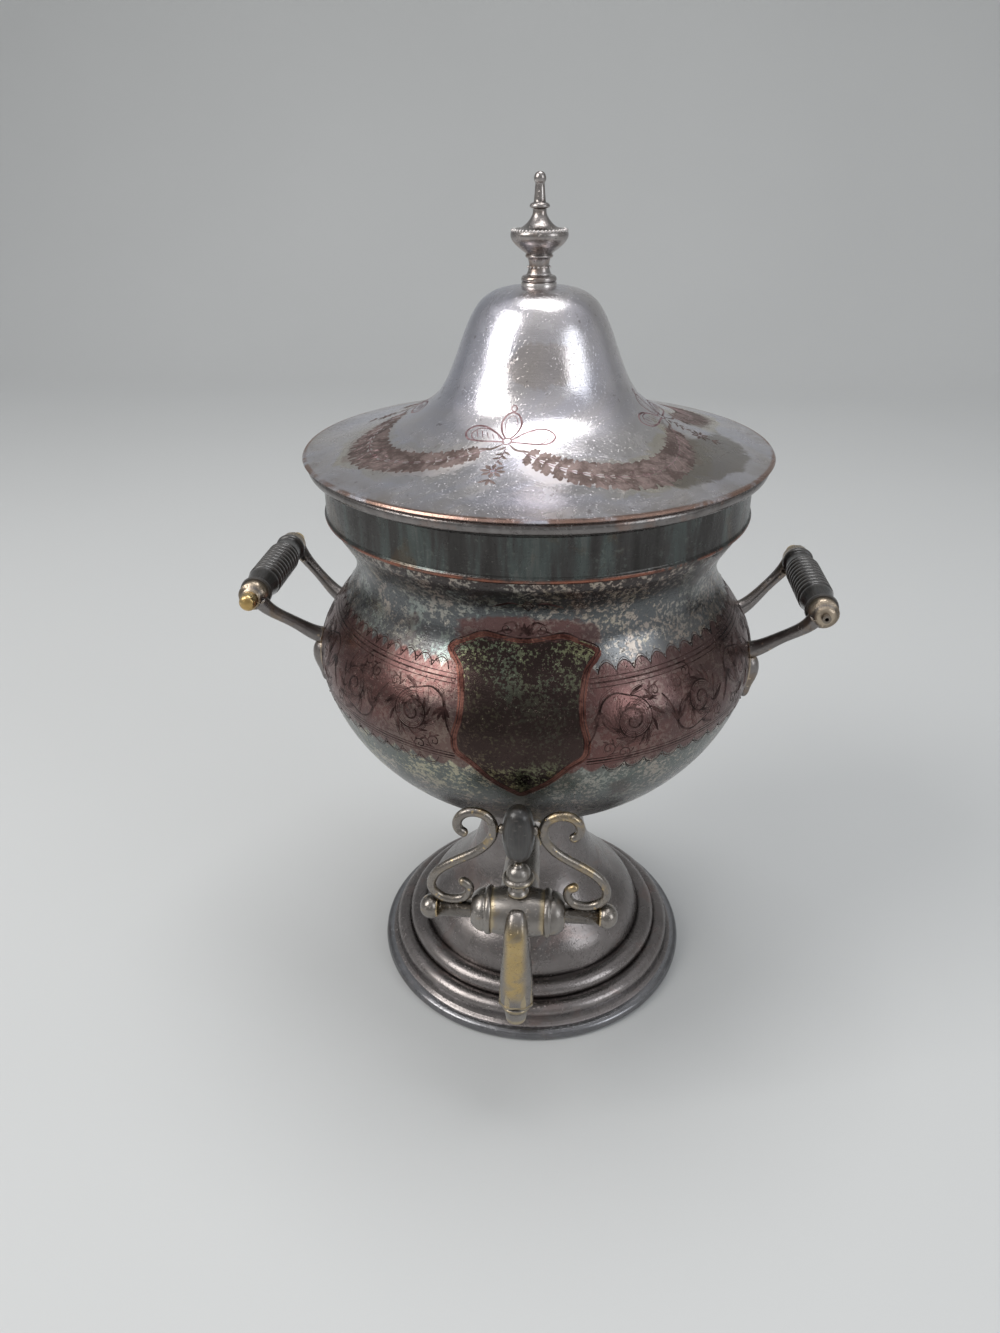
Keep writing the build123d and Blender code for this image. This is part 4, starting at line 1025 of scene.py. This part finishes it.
def build_foot():
    line = outline(FOOT, 1.3)
    inside = outline([[(27.0, 106.4)], [(26.2, 98), (26.6, 89), (27.6, 80), (29.6, 71.4), (32.2, 64.6),
                      (36, 57.6), (40.6, 51.2), (45.4, 45.6), (50.6, 40.4), (55.4, 35.4), (58.5, 30.6),
                      (60.6, 25), (61.8, 20.4)], [(66.6, 21.1), (71.0, 17.0)], [(71.1, 14)],
                      [(77, 14.2), (79.1, 11)], [(79.1, 7)], [(81.9, 5.6)], [(81.9, 0.6)]], 2.5)
    whole = np.vstack([line, [(28.6, 108)], [(0.001, 108)], [(0.001, 106.4)], inside, line[:1]])
    settle(turned("foot_shell", whole, STEPS), "urn", "silver_foot", "silver_foot", "foot")
    bead = outline([[(83.52, 0)], [(85.8, 0)], [(87.5, 1.1), (88, 3.1), (87.3, 5.1), (85.4, 6.2)],
                    [(83.52, 6.2)], [(83.52, 0)]], 0.5)
    settle(turned("foot_edge", bead, STEPS), "urn", "silver_foot", "silver_bead", "foot_rim")
    dress("stem_collar", "stem_ring", "urn", "silver_foot", "silver_bead")


def build_bowl(settings):
    outer = outline(BOWL, 1.5)
    inner = outline([[(95.3, 290)], [(95.3, 271), (94.6, 267.2), (91.3, 261.2), (87.3, 254.2), (85.3, 246.1),
                     (86.5, 238), (91.2, 229), (98.7, 219), (104.3, 209.4), (106.5, 199), (105.8, 190.2),
                     (103, 180.7), (99.1, 171.1), (93.6, 161.2), (86.4, 151.4), (77.3, 141.8),
                     (65.2, 131.9), (57.5, 126.3), (50.2, 121.9), (42.4, 118.3), (34.5, 115.6),
                     (28, 113.7)], [(0.001, 113.6)], [(0.001, 112)]], 2.6)
    whole = np.vstack([outer, inner, outer[:1]])
    settle(turned("bowl_shell", whole, STEPS), "urn", "silver_body", "silver_bowl", "bowl")
    dress("collar_shell", "collar_band", "urn", "silver_body", "silver_collar")
    dress("rim_roll", "rim_ring", "urn", "silver_body", "silver_rim")
    cut, leaf, edge, spots = bowl_engraving(settings)
    settle(cut, "urn", "silver_body", "bowl_cut")
    settle(leaf, "urn", "silver_body", "bowl_leaf")
    settle(edge, "urn", "silver_body", "shield_line")
    settle(shield_plate(), "urn", "silver_body", "shield_field")
    dots = baked("bowl_dots", stud_group(), spots, Dot_Radius=settings.dot_radius, Variation=0.3, Seed=7,
                 Material=MATERIALS["bowl_cut"])
    settle(dots, "urn", "silver_body", "bowl_cut")


def build_lid(settings):
    outer = outline(LID, 1.4)
    inner = outline([[(1.75, 364.1)], [(9, 364.1), (13.8, 363.6), (19.4, 361.9), (24, 358.8), (27.6, 353.9),
                     (30.7, 347.4), (33.5, 340.4), (36.5, 332.9), (40, 325.6), (44.7, 319.1),
                     (51.3, 314), (59.4, 309.9), (68.5, 306.2), (78.6, 302.8), (88.7, 300),
                     (97.6, 298.2), (104.6, 296.3)], [(106.1, 296.3)]], 2.4)
    whole = np.vstack([outer, inner, outer[:1]])
    settle(turned("lid_shell", whole, STEPS), "lid", "silver_lid", "silver_lid", "lid")
    dress("lid_spigot", "lid_bezel", "lid", "silver_lid", "silver_rim")
    cut, leaf = lid_engraving(settings)
    settle(cut, "lid", "silver_lid", "lid_cut")
    settle(leaf, "lid", "silver_lid", "lid_leaf")
    dress("finial_plinth", "finial_base", "lid", "silver_lid", "silver_finial")
    dress("finial_turning", "finial", "lid", "silver_lid", "silver_finial")
    dress("finial_lock", "finial_nut", "lid", "brass_nut", "brass_nut")
    tree = ring_group()
    rings = [baked("ring_%d" % k, tree, [(0, 0, 0)], Count=count, Ring_Radius=ring * MM, Height=height * MM,
                   Bead_Radius=bead * MM, Material=MATERIALS["silver_finial"])
             for k, (count, ring, height, bead) in enumerate((
                 (settings.crown_beads, 11.35, 387.1, 0.72), (22, 7.0, 368.3, 0.5), (16, 4.7, 373.0, 0.5)))]
    settle(joined("finial_beads", rings), "lid", "silver_lid", "silver_finial")


def rounded(corners, share=0.28, steps=3):
    """A closed polygon with each corner cut off by a short curve."""
    out = []
    for k, here in enumerate(corners):
        here = np.array(here, float)
        before, after = np.array(corners[k - 1], float), np.array(corners[(k + 1) % len(corners)], float)
        a, b = here + (before - here) * share, here + (after - here) * share
        for t in np.linspace(0, 1, steps):
            out.append((1 - t) ** 2 * a + 2 * t * (1 - t) * here + t * t * b)
    return out


def swan_spout(tap_reach, tap_height):
    """The spout: out over the barrel's front and down, wider towards its mouth, with bevelled corners."""
    run = [np.array(SPOUT[0], float), *smooth_run(SPOUT, 1.2)]
    vertices, faces = [], []
    for reach, height, lean, half, deep in run:
        fall = sqrt(1 - lean * lean)
        shape = rounded([(-0.55 * half, 0.5 * deep), (0.55 * half, 0.5 * deep), (half, 0.22 * deep),
                         (half, -0.25 * deep), (0.55 * half, -0.5 * deep), (-0.55 * half, -0.5 * deep),
                         (-half, -0.25 * deep), (-half, 0.22 * deep)])
        for x, front in shape:
            spot = (x, -(tap_reach + reach) - fall * front, tap_height + height + lean * front)
            vertices.append(Vector(spot) * MM)
    count = len(shape)
    for k in range(len(run) - 1):
        for i in range(count):
            a, b = k * count + i, k * count + (i + 1) % count
            faces.append((a, b, b + count, a + count))
    faces.append(tuple(range(count)))
    faces.append(tuple((len(run) - 1) * count + i for i in range(count)))
    return new_piece("swan_spout", vertices, faces, None, 50)


def fuller(piece, amount, upward=1.0):
    """A piece a little thicker all round, or less so upwards and downwards."""
    for point, normal in zip(piece.data.vertices, [v.normal.copy() for v in piece.data.vertices]):
        point.co += Vector((normal.x, normal.y, normal.z * upward)) * amount * MM
    return piece


def build_tap():
    """The tap, its spout and bulb set out from the axis that both glands share."""
    low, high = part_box("left_gland")
    reach, height = -(low[1] + high[1]) / 2 / MM, (low[2] + high[2]) / 2 / MM
    settle(swan_spout(reach, height), "urn", "cast_silver", "spout_silver")
    above = Matrix.Translation((0, -reach * MM, height * MM))
    knop = turned("tap_knop", outline(KNOP, 0.4), 72, above)
    settle(knop, "urn", "cast_silver", "tap_silver", "tap_finial")
    for name, node in (("tap_casting", "tap_body"), ("tap_mount", "tap_flange"),
                       ("spout_tip", "spout_nozzle"), ("left_packing", "left_gland"),
                       ("right_packing", "right_gland")):
        dress(name, node, "urn", "cast_silver", "tap_silver")
    dress("tap_lock", "tap_nut", "urn", "brass_nut", "brass_nut")


def build_lever():
    """The lever, with wires 0.4 mm fuller all round than packed, and an oval 1.7 mm fuller at its sides."""
    for name, node in (("lever_bar", "tap_spindle"), ("left_knob", "left_ball"),
                       ("right_knob", "right_ball"), ("left_wire", "left_scroll"),
                       ("right_wire", "right_scroll"), ("grip_rod", "grip_pin")):
        piece = copy_of(name, node)
        if node.endswith("scroll"):
            fuller(piece, 0.4)
        settle(piece, "tap_lever", "cast_silver", "wire_silver", node)
    oval = fuller(copy_of("lever_oval", "oval_grip"), 1.7, 0.0)
    settle(oval, "tap_lever", "ebony", "ebony_oval", "oval_grip")


def build_handles():
    for side in ("left", "right"):
        for end in ("front", "back"):
            for part in ("arm", "leaf"):
                node = side + "_" + end + "_" + part
                dress("cast_" + node, node, "urn", "cast_silver", "cast_silver")
        dress(side + "_wood", side + "_grip", "urn", "ebony", "ebony_grip")
        dress(side + "_iron", side + "_rod", "urn", "iron_rod", "iron_rod")
    dress("rod_nuts", "cap_nuts", "urn", "brass_nut", "brass_nut")


def build_stage(settings):
    """Paper that sweeps up behind the urn, the camera, three lamps and the light of the room."""
    vertices, faces = [], []
    line = [(-4.0, 0.0), (1.5, 0.0)]
    line += [(1.5 + 0.9 * sin(t), 0.9 - 0.9 * cos(t)) for t in np.linspace(0.1, pi / 2, 16)]
    line.append((2.4, 4.5))
    for x in (-5.0, 5.0):
        vertices += [(x, y, z) for y, z in line]
    count = len(line)
    for k in range(count - 1):
        faces.append((k, k + 1, count + k + 1, count + k))
    floor = new_piece("studio_sweep", vertices, faces, None, 60)
    for face in floor.data.polygons:
        if face.normal.z < -0.5 or face.normal.y > 0.9:
            floor.data.flip_normals()
            break
    floor.data.materials.append(MATERIALS["studio_paper"])

    pitch, yaw, roll = settings.pitch, settings.yaw, settings.roll
    forward = Vector((sin(yaw) * cos(pitch), cos(yaw) * cos(pitch), -sin(pitch)))
    level = Vector((cos(yaw), -sin(yaw), 0))
    up = level.cross(forward)
    right = level * cos(roll) + up * sin(roll)
    above = -level * sin(roll) + up * cos(roll)
    data = bpy.data.cameras.new("camera")
    data.sensor_width = 36
    data.lens = settings.lens
    data.clip_start = 0.01
    camera = add_object("camera", data)
    camera.matrix_world = Matrix((
        (right.x, above.x, -forward.x, settings.camera_spot[0]),
        (right.y, above.y, -forward.y, settings.camera_spot[1]),
        (right.z, above.z, -forward.z, settings.camera_spot[2]), (0, 0, 0, 1)))
    bpy.context.scene.camera = camera

    def lamp(name, spot, aim, width, height, power, colour):
        light = bpy.data.lights.new(name, "AREA")
        light.shape = "RECTANGLE"
        light.size, light.size_y = width, height
        light.energy = power
        light.color = colour
        holder = add_object(name, light)
        holder.location = spot
        holder.rotation_mode = "QUATERNION"
        holder.rotation_quaternion = (Vector(aim) - Vector(spot)).to_track_quat("-Z", "Y")

    lamp("window", (-1.3, -0.7, 1.5), (0, 0, 0.2), 0.9, 1.2, 17 * settings.power, (1.0, 0.98, 0.95))
    lamp("fill", (1.5, -0.9, 0.9), (0, 0, 0.2), 0.7, 1.0, 6 * settings.power, (0.92, 0.96, 1.0))
    lamp("overhead", (0.1, 0.2, 1.9), (0, 0, 0.2), 1.0, 0.7, 11 * settings.power, (1.0, 1.0, 1.0))

    world = bpy.data.worlds.new("room")
    world.use_nodes = True
    g = Graph(world.node_tree)
    world.node_tree.nodes.clear()
    way = g.add("ShaderNodeTexCoord").outputs["Generated"]
    height = g.add("ShaderNodeSeparateXYZ", {0: way}).outputs[2]
    room = g.ramp(g.span(height, -0.2, 1.0), [(0.0, (0.34, 0.34, 0.34)), (0.35, (0.4, 0.405, 0.4)),
                                              (0.6, (0.3, 0.305, 0.31)), (1.0, (0.62, 0.625, 0.64))])
    back = g.add("ShaderNodeBackground", {"Color": room, "Strength": 1.0})
    g.add("ShaderNodeOutputWorld", {"Surface": back.outputs[0]})
    bpy.context.scene.world = world
    bpy.context.scene.view_settings.view_transform = "Standard"


# Add-on

class UrnLook(bpy.types.PropertyGroup):
    """The plate's age and the edge of its worn band"""
    tarnish: FloatProperty(name="Tarnish", description="Share of speckled tarnish on the plate",
                           default=1.0, min=0.0, max=1.6, subtype="FACTOR")
    lobes: IntProperty(name="Lobes", description="Lobes of the copper band's border, as many as its scallops",
                       default=64, min=20, max=120)


class UrnEngraving(bpy.types.PropertyGroup):
    """Counts and sizes of the cut ornament and the beads"""
    scallops: IntProperty(name="Scallops", description="Scallops round the bowl, the shield left out",
                          default=64, min=20, max=120)
    scroll_radius: FloatProperty(name="Scroll radius", description="Radius of a leaf scroll in mm",
                                 default=10.6, min=6.0, max=12.5)
    dot_radius: FloatProperty(name="Dot radius", description="Radius of a punched dot",
                              default=0.00045, min=0.0002, max=0.001, unit="LENGTH")
    festoon_leaves: IntProperty(name="Festoon leaves", description="Leaf pairs from bow to bow on the lid",
                                default=22, min=8, max=60)
    crown_beads: IntProperty(name="Crown beads", description="Beads round the knob's widest ring",
                             default=44, min=12, max=80)


class UrnStudio(bpy.types.PropertyGroup):
    """The camera's place and lens, and the strength of the lamps"""
    camera_spot: FloatVectorProperty(name="Camera", description="Place of the camera", size=3,
                                     default=(0.0224, -0.4273, 0.4129), subtype="TRANSLATION", unit="LENGTH")
    pitch: FloatProperty(name="Pitch", description="How far the camera looks down",
                         default=radians(28.575), subtype="ANGLE", unit="ROTATION")
    yaw: FloatProperty(name="Yaw", description="How far the camera looks to the side",
                       default=radians(-5.406), subtype="ANGLE", unit="ROTATION")
    roll: FloatProperty(name="Roll", description="How far the camera leans",
                        default=radians(-0.468), subtype="ANGLE", unit="ROTATION")
    lens: FloatProperty(name="Lens", description="Focal length in mm for a 36 mm long side",
                        default=25.117, min=10.0, max=120.0)
    power: FloatProperty(name="Power", description="Strength of the lamps", default=1.0, min=0.1, max=4.0)


class URN_OT_materials(bpy.types.Operator):
    """Make the shared node groups and the materials"""
    bl_idname = "urn.materials"
    bl_label = "Materials"

    def execute(self, context):
        build_materials(context.scene.urn_look)
        return {"FINISHED"}


class URN_OT_foot(bpy.types.Operator):
    """Make the foot, its edge and the stem's ring"""
    bl_idname = "urn.foot"
    bl_label = "Foot"

    def execute(self, context):
        build_foot()
        return {"FINISHED"}


class URN_OT_bowl(bpy.types.Operator):
    """Make the bowl, its collar and rim, and its engraving"""
    bl_idname = "urn.bowl"
    bl_label = "Bowl"

    def execute(self, context):
        build_bowl(context.scene.urn_engraving)
        return {"FINISHED"}


class URN_OT_lid(bpy.types.Operator):
    """Make the lid with its knob and its engraving"""
    bl_idname = "urn.lid"
    bl_label = "Lid"

    def execute(self, context):
        build_lid(context.scene.urn_engraving)
        return {"FINISHED"}


class URN_OT_tap(bpy.types.Operator):
    """Make the tap"""
    bl_idname = "urn.tap"
    bl_label = "Tap"

    def execute(self, context):
        build_tap()
        return {"FINISHED"}


class URN_OT_lever(bpy.types.Operator):
    """Make the tap's lever"""
    bl_idname = "urn.lever"
    bl_label = "Lever"

    def execute(self, context):
        build_lever()
        return {"FINISHED"}


class URN_OT_handles(bpy.types.Operator):
    """Make both handles"""
    bl_idname = "urn.handles"
    bl_label = "Handles"

    def execute(self, context):
        build_handles()
        return {"FINISHED"}


class URN_OT_stage(bpy.types.Operator):
    """Make the floor, camera, lamps and room"""
    bl_idname = "urn.stage"
    bl_label = "Stage"

    def execute(self, context):
        build_stage(context.scene.urn_studio)
        return {"FINISHED"}


OPERATORS = (URN_OT_materials, URN_OT_foot, URN_OT_bowl, URN_OT_lid, URN_OT_tap, URN_OT_lever,
             URN_OT_handles, URN_OT_stage)


class URN_PT_panel(bpy.types.Panel):
    """A button for every step, above the settings they read"""
    bl_label = "Urn"
    bl_idname = "URN_PT_panel"
    bl_space_type = "VIEW_3D"
    bl_region_type = "UI"
    bl_category = "Urn"

    def draw(self, context):
        layout = self.layout
        for operator in OPERATORS:
            layout.operator(operator.bl_idname)
        for group in (context.scene.urn_look, context.scene.urn_engraving, context.scene.urn_studio):
            box = layout.box()
            for key in type(group).__annotations__:
                box.prop(group, key)


CLASSES = (UrnLook, UrnEngraving, UrnStudio, *OPERATORS, URN_PT_panel)


def register():
    for cls in CLASSES:
        bpy.utils.register_class(cls)
    bpy.types.Scene.urn_look = PointerProperty(type=UrnLook)
    bpy.types.Scene.urn_engraving = PointerProperty(type=UrnEngraving)
    bpy.types.Scene.urn_studio = PointerProperty(type=UrnStudio)


def unregister():
    del bpy.types.Scene.urn_studio
    del bpy.types.Scene.urn_engraving
    del bpy.types.Scene.urn_look
    for cls in reversed(CLASSES):
        bpy.utils.unregister_class(cls)


def main():
    register()
    bpy.ops.urn.materials()
    bpy.ops.urn.stage()
    bpy.ops.urn.foot()
    bpy.ops.urn.bowl()
    bpy.ops.urn.lid()
    bpy.ops.urn.tap()
    bpy.ops.urn.lever()
    bpy.ops.urn.handles()


if __name__ == "__main__":
    main()
